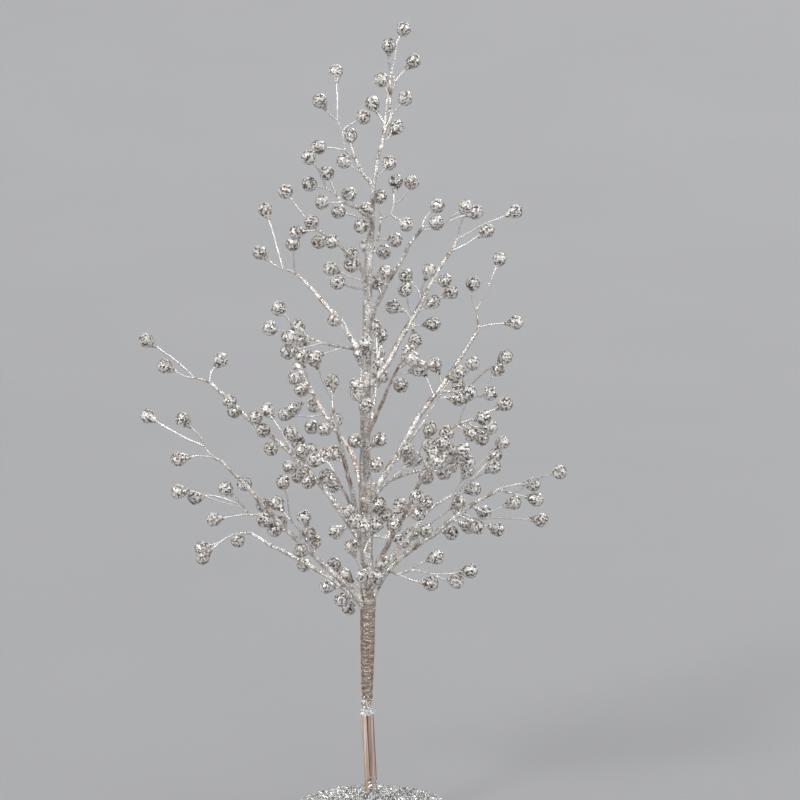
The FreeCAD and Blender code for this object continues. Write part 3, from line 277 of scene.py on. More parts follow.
def piece(name, parts, materials, smooth):
    """A piece that rides on the tree's one body.

    Each part is its points, its faces and its material's number, and without points it uses those of the
    part before. The materials numbered in smooth have smooth faces.
    """
    points = []
    faces = []
    numbers = []
    for part_points, part_faces, number in parts:
        if part_points is not None:
            start = len(points)
            points.extend(np.asarray(part_points, float).tolist())
        faces.extend([tuple(index + start for index in face) for face in part_faces])
        numbers.extend([number] * len(part_faces))
    mesh = bpy.data.meshes.new(name)
    mesh.from_pydata(points, [], faces)
    for material in materials:
        mesh.materials.append(material)
    mesh.polygons.foreach_set("material_index", numbers)
    mesh.polygons.foreach_set("use_smooth", [number in smooth for number in numbers])
    mesh.update()
    obj = bpy.data.objects.new(name, mesh)
    bpy.context.scene.collection.objects.link(obj)
    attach(obj, "root")
    return obj


def unit(vector):
    """The vector at length one."""
    length = np.linalg.norm(vector)
    return vector / length if length else vector


def middle_of(points):
    """The middle of the points' box."""
    return (points.max(axis=0) + points.min(axis=0)) / 2


def around(out, angle, height, centre=(0.0, 0.0)):
    """The place at a height, some way out from an upright axis at an angle."""
    return (centre[0] + out * math.cos(angle), centre[1] + out * math.sin(angle), height)


def turn_angles(count):
    """Even angles round a full turn."""
    return np.arange(count) * math.tau / count


def distances(line):
    """Each point's distance along a line."""
    return np.concatenate([[0.0], np.cumsum(np.linalg.norm(np.diff(line, axis=0), axis=1))])


def along(points, step):
    """A smooth line through the points, at even steps, with each place's distance from the start."""
    points = np.asarray(points, float)
    if len(points) == 2:
        dense = np.linspace(points[0], points[1], STRAIGHT_POINTS)
    else:
        padded = np.vstack([2 * points[0] - points[1], points, 2 * points[-1] - points[-2]])
        dense = []
        for index in range(1, len(padded) - 2):
            a, b, c, d = padded[index - 1:index + 3]
            for share in np.linspace(0, 1, CURVED_POINTS, endpoint=False):
                dense.append(0.5 * (
                    2 * b + (c - a) * share + (2 * a - 5 * b + 4 * c - d) * share ** 2
                    + (3 * b - a - 3 * c + d) * share ** 3))
        dense.append(points[-1])
        dense = np.array(dense)
    gone = distances(dense)
    count = max(3, int(gone[-1] / step) + 1)
    places = np.linspace(0, gone[-1], count)
    line = np.stack([np.interp(places, gone, dense[:, axis]) for axis in range(3)], axis=1)
    return line, places


def frames(line):
    """A direction and two sides at each point of a line, without twist."""
    headings = np.gradient(line, axis=0)
    headings /= np.linalg.norm(headings, axis=1)[:, None]
    side = np.cross(headings[0], [0.0, 0.0, 1.0])
    if np.linalg.norm(side) < NEAR_UPRIGHT:
        side = np.cross(headings[0], [0.0, 1.0, 0.0])
    sides = []
    for heading in headings:
        side = unit(side - heading * side.dot(heading))
        sides.append(side)
    sides = np.array(sides)
    return headings, sides, np.cross(headings, sides)


def ring_faces(rings, count):
    """The faces that join each ring of points to the next."""
    faces = []
    for ring in range(rings - 1):
        start = ring * count
        for index in range(count):
            after = (index + 1) % count
            faces.append((start + index, start + after, start + count + after, start + count + index))
    return faces


def sweep(line, radii):
    """A closed tube along a line; radii holds each ring's radius at each side."""
    sides, ups = frames(line)[1:]
    rings, count = radii.shape
    across = np.cos(turn_angles(count))[None, :, None]
    over = np.sin(turn_angles(count))[None, :, None]
    out = sides[:, None, :] * across + ups[:, None, :] * over
    points = line[:, None, :] + out * radii[:, :, None]
    faces = ring_faces(rings, count)
    faces.append(tuple(range(count - 1, -1, -1)))
    faces.append(tuple(range((rings - 1) * count, rings * count)))
    return points.reshape(-1, 3), faces


def crinkles(points, scale, seed):
    """Even noise between -1 and 1 at each point, with features a step of scale across."""
    shift = Vector([seed * amount for amount in NOISE_SHIFTS])
    return np.array([noise.noise(Vector(point) / scale + shift) for point in points.reshape(-1, 3)])


def rooted(line, reach, step):
    """A smooth line that starts a little before its root, inside what it grows from."""
    return along(np.vstack([line[0] + unit(line[0] - line[1]) * reach, line]), step)


def wander(line, scale, seed):
    """A smooth random way off at each point of a line."""
    return np.stack([crinkles(line, scale, seed + axis) for axis in range(3)], axis=1)


def lap_height(angles, places, pitch, edge_share, shift=0.0):
    """How high wound tape stands at each place and angle: it steps up at its edge, then falls slowly."""
    turn = (angles[None, :] / math.tau + places[:, None] / pitch + shift) % 1.0
    return np.where(turn < edge_share, turn / edge_share, 1.0 - (turn - edge_share) / (1.0 - edge_share))


# The frame's wires and beads

def loose_parts(node):
    """The separate solids of a CAD node: points, and triangles between them."""
    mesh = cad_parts[node].data
    mesh.calc_loop_triangles()
    raw = np.zeros(len(mesh.vertices) * 3)
    mesh.vertices.foreach_get("co", raw)
    raw = raw.reshape(-1, 3)
    triangles = np.zeros(len(mesh.loop_triangles) * 3, int)
    mesh.loop_triangles.foreach_get("vertices", triangles)
    keys, where = np.unique(np.round(raw, WELD_DIGITS), axis=0, return_inverse=True)
    triangles = where.reshape(-1)[triangles].reshape(-1, 3)
    owner = list(range(len(keys)))

    def root(index):
        while owner[index] != index:
            owner[index] = owner[owner[index]]
            index = owner[index]
        return index

    for a, b, c in triangles:
        owner[root(a)] = root(b)
        owner[root(b)] = root(c)
    groups = {}
    for triangle in triangles:
        groups.setdefault(root(triangle[0]), []).append(triangle)
    parts = []
    for members in groups.values():
        members = np.array(members)
        used, where = np.unique(members, return_inverse=True)
        parts.append((keys[used], where.reshape(-1, 3)))
    return parts


def end_cap(points, triangles, start):
    """The flat end that a point belongs to: its middle, radius and way in, and how far from round it is."""
    near = np.linalg.norm(points - points[start], axis=1) < CAP_REACH
    seeds = triangles[near[triangles].all(axis=1)]
    corners = points[seeds]
    normals = np.cross(corners[:, 1] - corners[:, 0], corners[:, 2] - corners[:, 0])
    areas = np.linalg.norm(normals, axis=1)
    normals /= np.maximum(areas[:, None], TINY)
    around = points[near]
    best = None
    for seed in np.flatnonzero(areas > areas.max() * SLIVER_SHARE):
        normal = normals[seed]
        heights = (around - points[seeds[seed][0]]) @ normal
        patch = around[np.abs(heights) < FLAT_WITHIN]
        if heights.max() > FLAT_WITHIN or len(patch) < LEAST_CAP_POINTS:
            continue
        middle = patch.mean(axis=0)
        out = np.linalg.norm(patch - middle, axis=1)
        uneven = out.std() / out.mean() + LEAST_CAP_POINTS / len(patch)
        if best is None or uneven < best[3]:
            best = (middle, out.mean(), -normal, uneven)
    return best or (points[start], HAIR, unit(points.mean(axis=0) - points[start]), 1.0)


def cut_across(points, triangles, spot, heading, reach):
    """Where a plane at a spot cuts the bar there: the middle of the cut and its radius."""
    heights = (points - spot) @ heading
    above = heights[triangles] > 0
    crossing = triangles[above.any(axis=1) & ~above.all(axis=1)]
    ends = []
    for a, b, c in ((0, 1, 2), (1, 2, 0), (2, 0, 1)):
        lone = (heights[crossing[:, a]] > 0) != (heights[crossing[:, b]] > 0)
        lone &= (heights[crossing[:, a]] > 0) != (heights[crossing[:, c]] > 0)
        tips = crossing[lone]
        pair = []
        for other in (b, c):
            share = heights[tips[:, a]] / (heights[tips[:, a]] - heights[tips[:, other]])
            pair.append(points[tips[:, a]] + share[:, None] * (points[tips[:, other]] - points[tips[:, a]]))
        ends.append(np.stack(pair, axis=1))
    ends = np.concatenate(ends)
    middles = ends.mean(axis=1)
    lengths = np.linalg.norm(ends[:, 0] - ends[:, 1], axis=1)
    lengths = lengths * (np.linalg.norm(middles - spot, axis=1) < reach)
    if lengths.sum() < reach:
        return None
    middle = (middles * lengths[:, None]).sum(axis=0) / lengths.sum()
    return middle, (np.linalg.norm(middles - middle, axis=1) * lengths).sum() / lengths.sum()


def next_cut(points, triangles, centre, heading, radius):
    """The next cut along a bar. At a sharp bend the step is shortened, and the cut turned with the bar."""
    for share in SHORTER_STEPS:
        toward = heading
        for _ in range(CUT_TRIES):
            spot = centre + toward * CUT_STEP * share
            found = cut_across(points, triangles, spot, toward, radius * CUT_REACH)
            if found is None:
                break
            if radius / CUT_CHANGE < found[1] < radius * CUT_CHANGE:
                return found
            toward = unit(found[0] - centre)
    return None


def middle_line(points, triangles):
    """A round bar's line, from its rounder flat end to its other, and its radius at each place."""
    first = int(np.argmax(np.linalg.norm(points - points.mean(axis=0), axis=1)))
    second = int(np.argmax(np.linalg.norm(points - points[first], axis=1)))
    ends = sorted((end_cap(points, triangles, index) for index in (first, second)), key=lambda end: end[3])
    middle, radius, heading = ends[0][:3]
    centres = [middle]
    radii = [radius]
    while len(centres) < MOST_CUTS:
        found = next_cut(points, triangles, centres[-1], heading, radii[-1])
        if found is None:
            break
        heading = unit(found[0] - centres[-1])
        centres.append(found[0])
        radii.append(found[1])
    far_end = ends[1]
    if far_end[3] < FLAT_UNEVEN and np.linalg.norm(far_end[0] - centres[-1]) > 2 * CUT_STEP:
        return np.array(centres + [far_end[0]]), np.array(radii + [far_end[1]])
    off = points - centres[-1]
    beyond = off @ heading
    near = np.linalg.norm(off - np.outer(beyond, heading), axis=1) < radii[-1] * CUT_REACH
    rest = max(0.0, beyond[near & (beyond < 3 * CUT_STEP)].max())
    if rest < CUT_STEP / 2 and len(centres) > 2:
        centres[-1] = centres[-1] + heading * rest
    else:
        centres.append(centres[-1] + heading * rest)
        radii.append(radii[-1])
    return np.array(centres), np.array(radii)


def read_spray(name):
    """A spray's wires, each from root to tip, and its beads. The thinnest wires are twigs, one to a bead.

    A thick wire's root is its thicker end, and a twig's tip is at its bead.
    """
    beads = []
    for points, _ in loose_parts(name + "_beads"):
        middle = points.mean(axis=0)
        longest = np.linalg.svd(points - middle)[2][0]
        beads.append({"points": points, "middle": middle, "axis": longest})
    wires = []
    for points, triangles in loose_parts(name + "_wires"):
        line, radii = middle_line(points, triangles)
        wires.append({"line": line, "radii": radii})
    wires.sort(key=lambda wire: wire["radii"].max())
    for index, wire in enumerate(wires):
        line, radii = wire["line"], wire["radii"]
        ends = [min(np.linalg.norm(bead["middle"] - end) for bead in beads) for end in (line[0], line[-1])]
        wire["thick"] = index >= len(beads)
        turned = radii[0] < radii[-1] if wire["thick"] else ends[0] < ends[1]
        if turned:
            wire["line"], wire["radii"] = line[::-1], radii[::-1]
    tips = [wire for wire in wires if not wire["thick"]]
    for bead in beads:
        wire = min(tips, key=lambda entry: np.linalg.norm(entry["line"][-1] - bead["middle"]))
        axis = bead["axis"]
        if (wire["line"][-1] - bead["middle"]) @ axis > 0:
            axis = -axis
        reach = (bead["points"] - bead["middle"]) @ axis
        bead["axis"] = axis
        bead["neck"] = bead["middle"] + axis * reach.min()
        bead["length"] = reach.max() - reach.min()
        off = bead["points"] - bead["middle"] - np.outer(reach, axis)
        bead["radius"] = np.linalg.norm(off, axis=1).max()
        before = wire["line"][(wire["line"] - bead["neck"]) @ axis < -TWIG_RUN_IN]
        before = before if len(before) > 1 else wire["line"][:2]
        ends = [bead["neck"] - axis * TWIG_RUN_IN / 2, bead["neck"] + axis * TWIG_RUN_IN]
        wire["line"] = np.vstack([before, ends])
        wire["radii"] = np.full(len(wire["line"]), wire["radii"].mean())
    return wires, beads


SPRAYS = sorted(name.removesuffix("_beads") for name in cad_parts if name.endswith("_beads"))


# Materials

# Places of the colour sockets of a Mix node
MIX_FIRST = 6
MIX_SECOND = 7
MIX_RESULT = 2

# Cells to a metre, and the heights between which the trunk's foil changes
BEAD_CELLS = 1120.0
COAT_CELLS = 2100.0
FOIL_CHANGE_HEIGHTS = (0.128, 0.150)

SATIN_STOPS = [
    (0.30, (0.37, 0.23, 0.17)), (0.44, (0.60, 0.43, 0.34)),
    (0.56, (0.80, 0.61, 0.51)), (0.75, (0.98, 0.82, 0.72))]
SILVER_STOPS = [
    (0.28, (0.24, 0.17, 0.13)), (0.39, (0.50, 0.43, 0.37)),
    (0.50, (0.80, 0.76, 0.72)), (0.64, (1.0, 0.99, 0.97))]
# A warmer copy of the silver stops: painted warm reflection
WARM_REFLECTION_STOPS = [
    (0.28, (0.22, 0.15, 0.11)), (0.40, (0.52, 0.42, 0.36)),
    (0.52, (0.80, 0.71, 0.64)), (0.68, (1.0, 0.96, 0.92))]
TRUNK_STOPS = [
    (0.26, (0.20, 0.14, 0.10)), (0.38, (0.42, 0.37, 0.33)),
    (0.52, (0.66, 0.62, 0.58)), (0.68, (1.0, 0.98, 0.96))]
TAUPE_STOPS = [
    (0.28, (0.18, 0.12, 0.08)), (0.42, (0.36, 0.28, 0.22)),
    (0.56, (0.50, 0.43, 0.36)), (0.74, (0.88, 0.83, 0.78))]
# Warm colour of the streaks up the trunk's two sides, lower down: painted warm reflection
PAINTED_WARM_REFLECTION_STOPS = [(0.30, (0.25, 0.14, 0.08)), (0.50, (0.50, 0.33, 0.21)), (0.70, (0.80, 0.66, 0.55))]
STEM_STRETCH = (1.0, 1.0, 0.6)
TRUNK_STRETCH = (0.5, 0.5, 1.6)


def connect(tree, target, inputs):
    """Sets a node's inputs, or links them."""
    for key, value in inputs.items():
        if isinstance(value, bpy.types.NodeSocket):
            tree.links.new(value, target.inputs[key])
        else:
            target.inputs[key].default_value = value


def node(tree, kind, inputs=None, **settings):
    """A node with its inputs set or linked."""
    made = tree.nodes.new(kind)
    for key, value in settings.items():
        setattr(made, key, value)
    connect(tree, made, inputs or {})
    return made


def new_material(name):
    """An empty material, and its nodes."""
    material = bpy.data.materials.new(name)
    material.use_nodes = True
    return material, material.node_tree


def surfaced(material, inputs):
    """The material, with its surface shader's inputs set or linked."""
    connect(material.node_tree, material.node_tree.nodes["Principled BSDF"], inputs)
    return material


def own_space(tree):
    """The place in the piece's own space."""
    return node(tree, "ShaderNodeTexCoord").outputs["Object"]


def ramp(tree, factor, stops):
    """A colour ramp with the stops given, each a place and a colour or a shade of grey."""
    made = node(tree, "ShaderNodeValToRGB", {"Fac": factor})
    elements = made.color_ramp.elements
    while len(elements) < len(stops):
        elements.new(0.5)
    for element, (place, colour) in zip(elements, stops):
        element.position = place
        shade = colour if isinstance(colour, tuple) else (colour,) * 3
        element.color = (*shade, 1.0)
    return made.outputs["Color"]


def spread(tree, value, low, high):
    """A value from 0 to 1, spread between two others."""
    return node(tree, "ShaderNodeMapRange", {"Value": value, "To Min": low, "To Max": high}).outputs["Result"]


def spot_noise(tree, scale, detail=3.0, stretch=(1, 1, 1), roughness=0.5):
    """Noise in the piece's own space, stretched if asked."""
    mapped = node(tree, "ShaderNodeMapping", {"Vector": own_space(tree), "Scale": stretch}).outputs["Vector"]
    return node(tree, "ShaderNodeTexNoise", {
        "Vector": mapped, "Scale": scale, "Detail": detail, "Roughness": roughness}).outputs["Fac"]


def cells(tree, scale, output="Distance"):
    """A pattern of cells in the piece's own space."""
    return node(tree, "ShaderNodeTexVoronoi", {"Vector": own_space(tree), "Scale": scale}).outputs[output]


def cell_value(tree, scale, channel="Red"):
    """A random value for each cell."""
    return node(tree, "ShaderNodeSeparateColor", {"Color": cells(tree, scale, "Color")}).outputs[channel]


def island_value(tree):
    """A random value for each loose part of a mesh."""
    return node(tree, "ShaderNodeNewGeometry").outputs["Random Per Island"]


def bump(tree, height, strength, distance, below=None):
    """A bump of a height, on top of another if given."""
    inputs = {"Height": height, "Strength": strength, "Distance": distance}
    if below is not None:
        inputs["Normal"] = below
    return node(tree, "ShaderNodeBump", inputs).outputs["Normal"]


def wire_metal():
    """Bright silver-plated wire, a little grey where the twist holds shade."""
    material, tree = new_material("twisted_wire")
    tone = spot_noise(tree, 900.0, detail=2.0)
    grain = spot_noise(tree, 3200.0, detail=2.0)
    return surfaced(material, {
        "Base Color": ramp(tree, tone, [
            (0.3, (0.66, 0.63, 0.60)), (0.5, (0.90, 0.89, 0.87)), (0.7, (1.0, 1.0, 0.99))]),
        "Roughness": spread(tree, tone, 0.36, 0.16),
        "Metallic": 1.0,
        "Normal": bump(tree, grain, strength=0.35, distance=0.1 * MM),
    })


def foil_metal(name, stops, stretch, low_stops=None, smooth=0.10, crease_depth=0.8):
    """Crinkled foil tape: streaks of its warm backing, and bright facets. It may differ lower down."""
    material, tree = new_material(name)
    colour = ramp(tree, spot_noise(tree, 300.0, 4.0, (1.0, 1.0, 0.4), 0.6), stops)
    if low_stops:
        height = node(tree, "ShaderNodeSeparateXYZ", {"Vector": own_space(tree)}).outputs["Z"]
        low, high = FOIL_CHANGE_HEIGHTS
        share = node(tree, "ShaderNodeMapRange", {
            "Value": height, "From Min": low, "From Max": high}).outputs["Result"]
        low_colour = ramp(tree, spot_noise(tree, 420.0, 4.0, (0.6, 0.6, 2.2), 0.6), low_stops)
        mixed = node(tree, "ShaderNodeMix", {
            "Factor": share, MIX_FIRST: low_colour, MIX_SECOND: colour}, data_type="RGBA")
        colour = mixed.outputs[MIX_RESULT]
    crease = bump(tree, cells(tree, 1000.0), crease_depth, distance=0.5 * MM)
    folds = spot_noise(tree, 1500.0, 4.0, stretch)
    return surfaced(material, {
        "Base Color": colour,
        "Roughness": spread(tree, cell_value(tree, 1300.0), smooth, 0.45),
        "Metallic": 1.0,
        "Normal": bump(tree, folds, strength=0.55, distance=0.4 * MM, below=crease),
    })


def grained(name, stops, inputs, strength=None, distance=0.4 * MM, **grain):
    """A material coloured by noise, which also raises it if a strength is given."""
    material, tree = new_material(name)
    tone = spot_noise(tree, **grain)
    inputs = {"Base Color": ramp(tree, tone, stops), **inputs}
    if strength is not None:
        inputs["Normal"] = bump(tree, tone, strength, distance)
    return surfaced(material, inputs)


def satin_wrap(name, depth=1.0):
    """Smooth pinkish-silver wrap with fine lengthwise threads; where depth is less than one, a darker copy
    that is painted shade.
    """
    stops = [(place, tuple(channel * depth for channel in shade)) for place, shade in SATIN_STOPS]
    return grained(
        name, stops, {"Metallic": 0.35, "Roughness": 0.42, "Sheen Weight": 0.2},
        strength=0.5, distance=0.2 * MM, scale=800.0, stretch=(1.0, 1.0, 0.03))


def groove_shade():
    """Painted shade for the wrap's open groove: a dark colour where the groove lies in shade."""
    return grained(
        "wrap_groove_painted_shade", [(0.35, (0.05, 0.035, 0.03)), (0.65, (0.16, 0.11, 0.09))], {"Roughness": 0.5},
        strength=0.4, distance=0.2 * MM, scale=900.0, stretch=(1.0, 1.0, 0.2))


def felt():
    """Grey felt with loose fibres."""
    return grained(
        "grey_felt", [(0.35, (0.16, 0.16, 0.17)), (0.65, (0.33, 0.33, 0.34))],
        {"Roughness": 0.95, "Sheen Weight": 0.3}, strength=0.6, scale=1400.0, detail=5.0, roughness=0.7)


def plaster():
    """Cast plaster with small pits."""
    return grained(
        "plaster", [(0.3, (0.62, 0.60, 0.56)), (0.7, (0.82, 0.80, 0.77))], {"Roughness": 0.85},
        strength=0.5, scale=500.0, detail=4.0)


def steel():
    """Drawn steel rod."""
    return grained(
        "steel_rod", [(0.3, (0.36, 0.36, 0.37)), (0.7, (0.58, 0.58, 0.58))],
        {"Metallic": 1.0, "Roughness": 0.32}, scale=900.0, detail=2.0, stretch=(1.0, 1.0, 0.05))


def clear_bead():
    """Clear acrylic with its colour painted in small cells: the white and light cells are painted glints and
    reflections, the dark ones painted dark reflections.
    """
    material, tree = new_material("clear_acrylic")
    cut = cell_value(tree, BEAD_CELLS)
    lift = spread(tree, island_value(tree), -0.05, 0.10)
    tone = node(tree, "ShaderNodeMath", {0: cut, 1: lift}, operation="ADD").outputs["Value"]
    return surfaced(material, {
        "Base Color": ramp(tree, tone, [
            (0.06, (0.045, 0.034, 0.027)), (0.24, (0.21, 0.165, 0.13)), (0.44, (0.52, 0.46, 0.40)),
            (0.62, (0.90, 0.85, 0.78)), (0.80, (1.0, 1.0, 0.99))]),
        "IOR": 1.5, "Transmission Weight": 0.3,
        "Roughness": 0.16, "Metallic": 0.3,
        "Coat Weight": 1.0, "Coat Roughness": 0.04,
        "Normal": bump(tree, cells(tree, BEAD_CELLS), strength=0.5, distance=0.4 * MM),
    })


def glitter_flake(name, stops, metallic=1.0):
    """Mirror-like flakes, each with its own shade."""
    material, tree = new_material(name)
    island = island_value(tree)
    return surfaced(material, {
        "Base Color": ramp(tree, island, stops),
        "Roughness": spread(tree, island, 0.38, 0.10),
        "Metallic": metallic,
    })


def glitter_ground(name, stops, metallic=0.8):
    """The coat that the flakes lie in."""
    material, tree = new_material(name)
    return surfaced(material, {
        "Base Color": ramp(tree, cell_value(tree, COAT_CELLS, "Green"), stops),
        "Metallic": metallic,
        "Roughness": 0.32,
        "Normal": bump(tree, cells(tree, COAT_CELLS), strength=0.8, distance=0.4 * MM),
    })


WIRE = wire_metal()
FOIL = foil_metal("stem_foil", SILVER_STOPS, STEM_STRETCH)
STEM_FOIL_WARM_REFLECTION = foil_metal("stem_foil_painted_warm_reflection", WARM_REFLECTION_STOPS, STEM_STRETCH)
TRUNK_FOIL = foil_metal("trunk_foil", TRUNK_STOPS, TRUNK_STRETCH, TAUPE_STOPS, 0.2, 0.55)
# Trunk foil with the warm streaks lower down on its two sides: painted warm reflection
TRUNK_PAINTED_REFLECTION_FOIL = foil_metal("trunk_painted_warm_reflection", TRUNK_STOPS, TRUNK_STRETCH, PAINTED_WARM_REFLECTION_STOPS, 0.2, 0.55)
SATIN = satin_wrap("satin_wrap")
# Darker copies of the satin for bands down one side of the sleeve: painted shade, lighter in one band and
# darkest at the far edge
SATIN_PAINTED_SHADE = satin_wrap("satin_wrap_painted_shade", 0.55)
SATIN_PAINTED_HALF_SHADE = satin_wrap("satin_wrap_painted_half_shade", 0.74)
SATIN_PAINTED_EDGE_SHADE = satin_wrap("satin_wrap_painted_edge_shade", 0.26)
GROOVE_PAINTED_SHADE = groove_shade()
ACRYLIC = clear_bead()
BASE_FLAKE = glitter_flake("glitter_flakes", [
    (0.0, 0.06), (0.18, (0.26, 0.26, 0.25)), (0.34, (0.84, 0.85, 0.82)),
    (0.48, (1.0, 1.0, 0.98)), (1.0, 1.0)], 0.85)
COAT = glitter_ground("glitter_coat", [
    (0.0, 0.06), (0.5, (0.42, 0.42, 0.40)), (1.0, (0.95, 0.95, 0.93))])
BRIGHT_FLAKE = glitter_flake("bright_flakes", [
    (0.0, 0.14), (0.18, (0.75, 0.75, 0.73)), (0.34, 1.0)], 0.35)
FOOT_FLAKE = glitter_flake("foot_flakes", [
    (0.0, 0.05), (0.25, (0.45, 0.45, 0.44)), (0.45, 1.0)])
BRIGHT_COAT = glitter_ground("bright_coat", [
    (0.0, (0.16, 0.16, 0.15)), (0.35, (0.90, 0.90, 0.88)), (0.6, 1.0)], 0.3)


# Sprays

def nub(spot, radius):
    """A small faceted lump on a wire."""
    ball = bmesh.new()
    bmesh.ops.create_icosphere(ball, subdivisions=1, radius=radius)
    points = np.array([vertex.co[:] for vertex in ball.verts])
    uneven = crinkles(points, radius, spot[0] * NUB_SEED_SCALE)[:, None]
    points = spot + points * (1.0 + NUB_UNEVEN * uneven)
    faces = [tuple(vertex.index for vertex in face.verts) for face in ball.faces]
    ball.free()
    return points, faces


def twisted(line, radii, seed):
    """Two strands twisted together along a twig, with small nubs where they were nipped."""
    spine, places = rooted(line, WIRE_ROOT_REACH, WIRE_STEP)
    fade = np.minimum(1.0, (places[-1] - places) / WIRE_STEADY_END)[:, None]
    spine = spine + wander(spine, WIRE_WOBBLE_SCALE, seed) * fade * WIRE_WOBBLE
    thick = radii.mean() * WIRE_THICK_SHARE
    turn = places * math.tau / WIRE_TWIST_PITCH + seed
    waist = 0.5 - 0.5 * np.cos(2 * (turn_angles(WIRE_SIDES)[None, :] - turn[:, None]))
    uneven = crinkles(spine, WIRE_UNEVEN_SCALE, seed + 5)[:, None]
    radius = thick * (1.0 - WIRE_STRAND_SHARE * waist) * (1.0 + WIRE_UNEVEN * uneven)
    parts = [(*sweep(spine, radius), 0)]
    if RANDOM.random() < NUB_CHANCE * places[-1] / NUB_STRETCH:
        spot = spine[int(len(spine) * RANDOM.uniform(*NUB_PLACE_SHARES))]
        parts.append((*nub(spot, NUB_RADIUS * RANDOM.uniform(*NUB_SIZE_SHARES)), 0))
    if RANDOM.random() < ROOT_NUB_CHANCE:
        parts.append((*nub(line[0], NUB_RADIUS * RANDOM.uniform(*ROOT_NUB_SIZE_SHARES)), 0))
    return parts


def burrs(spine, radii, count):
    """Short wire ends that stick out of a wrapped stem."""
    headings, sides, ups = frames(spine)
    parts = []
    for _ in range(count):
        place = RANDOM.randrange(len(spine) // BURR_FREE_PARTS, len(spine) - 1)
        angle = RANDOM.uniform(0, math.tau)
        lean = headings[place] * RANDOM.uniform(0, BURR_LEAN)
        out = unit(sides[place] * math.cos(angle) + ups[place] * math.sin(angle) + lean)
        radius = radii[place].mean()
        start = spine[place] + out * radius * BURR_SUNK_SHARE
        length = radius * (1.0 - BURR_SUNK_SHARE) + BURR_LENGTH * RANDOM.uniform(*BURR_LENGTH_SHARES)
        line = np.linspace(start, start + out * length, len(BURR_TAPER_SHARES))
        parts.append((*sweep(line, np.outer(BURR_TAPER_SHARES, np.full(BURR_SIDES, BURR_RADIUS))), 0))
    return parts


def wrapped(line, radii, seed, reach):
    """A stem in foil tape: a lapped edge winds round it, and the foil is crinkled over the wires inside."""
    spine, places = rooted(line, reach, STEM_STEP)
    even = np.interp(np.maximum(places - reach, 0), distances(line), radii)[:, None]
    spine = spine + wander(spine, STEM_WOBBLE_SCALE, seed) * STEM_WOBBLE
    angles = turn_angles(STEM_SIDES)
    lap = lap_height(angles, places, STEM_WRAP_PITCH, STEM_LAP_SHARE, seed)
    strands = 0.5 + 0.5 * np.cos(STEM_STRANDS * angles[None, :] + places[:, None] / STEM_STRAND_LENGTH)
    base = even * (STEM_CORE_SHARE + STEM_STRAND_SHARE * strands)
    points = sweep(spine, base)[0]
    fine = crinkles(points, STEM_FINE_SCALE, seed).reshape(base.shape)
    broad = crinkles(points, STEM_BROAD_SCALE, seed + 9).reshape(base.shape)
    rough = (fine + STEM_BROAD_SHARE * broad) * np.minimum(1, even / STEM_FULL_RADIUS)
    radius = base + STEM_WRAP_LIFT * (lap - 0.5) + STEM_CRINKLE * rough
    tip = np.clip((places[-1] - places) / STEM_TIP_LENGTH, STEM_TIP_SHARE, 1.0)[:, None]
    return [(*sweep(spine, radius * tip), 1)] + burrs(spine, radius, int(places[-1] / BURR_SPACING))


def cut_drop():
    """A unit drop on +Z, in facets: each ring is turned half a step from the one below."""
    points = [(0.0, 0.0, 0.0)]
    for index, (height, out) in enumerate(BEAD_RING_SHARES):
        for side in range(BEAD_SIDES):
            points.append(around(out, (side + 0.5 * (index % 2)) * math.tau / BEAD_SIDES, height))
    points.append((0.0, 0.0, 1.0))
    faces = []
    last = len(points) - 1
    top = last - BEAD_SIDES
    for side in range(BEAD_SIDES):
        after = (side + 1) % BEAD_SIDES
        faces.append((0, 1 + after, 1 + side))
        faces.append((top + side, top + after, last))
    for index in range(len(BEAD_RING_SHARES) - 1):
        low = 1 + index * BEAD_SIDES
        high = low + BEAD_SIDES
        for side in range(BEAD_SIDES):
            after = (side + 1) % BEAD_SIDES
            if index % 2 == 0:
                faces += [(low + side, low + after, high + side), (low + after, high + after, high + side)]
            else:
                faces += [(low + side, high + after, high + side), (low + side, low + after, high + after)]
    return np.array(points), faces


DROP_POINTS, DROP_FACES = cut_drop()


def drop(bead):
    """A cut drop in a CAD bead's place."""
    spin = RANDOM.uniform(0, math.tau)
    size = 1.0 + RANDOM.uniform(-BEAD_SIZE_SPREAD, 0.0)
    width = bead["radius"] * size * BEAD_WIDTH_SHARE
    stretch = Matrix.Diagonal((width, width, bead["length"] * size))
    turn = Vector((0, 0, 1)).rotation_difference(Vector(bead["axis"])).to_matrix()
    matrix = np.array(turn @ Matrix.Rotation(spin, 3, "Z") @ stretch)
    uneven = 1.0 + BEAD_UNEVEN * np.array([RANDOM.uniform(-1, 1) for _ in DROP_POINTS])[:, None]
    points = (DROP_POINTS * np.hstack([uneven, uneven, np.ones_like(uneven)])) @ matrix.T
    return points + bead["neck"], DROP_FACES, 0


def neck_loop(bead):
    """The turns of wire that hold a bead at its neck."""
    axis = bead["axis"]
    side = unit(np.cross(axis, LOOP_ASIDE))
    up = np.cross(axis, side)
    turns = np.linspace(0, LOOP_TURNS * math.tau, LOOP_POINTS)[:, None]
    ring = side * np.cos(turns) * LOOP_RADIUS + up * np.sin(turns) * LOOP_RADIUS
    line = bead["neck"] + ring + axis * (turns / turns[-1] - LOOP_LOW_SHARE) * LOOP_RISE
    return (*sweep(line, np.full((len(line), LOOP_SIDES), LOOP_WIRE)), 0)


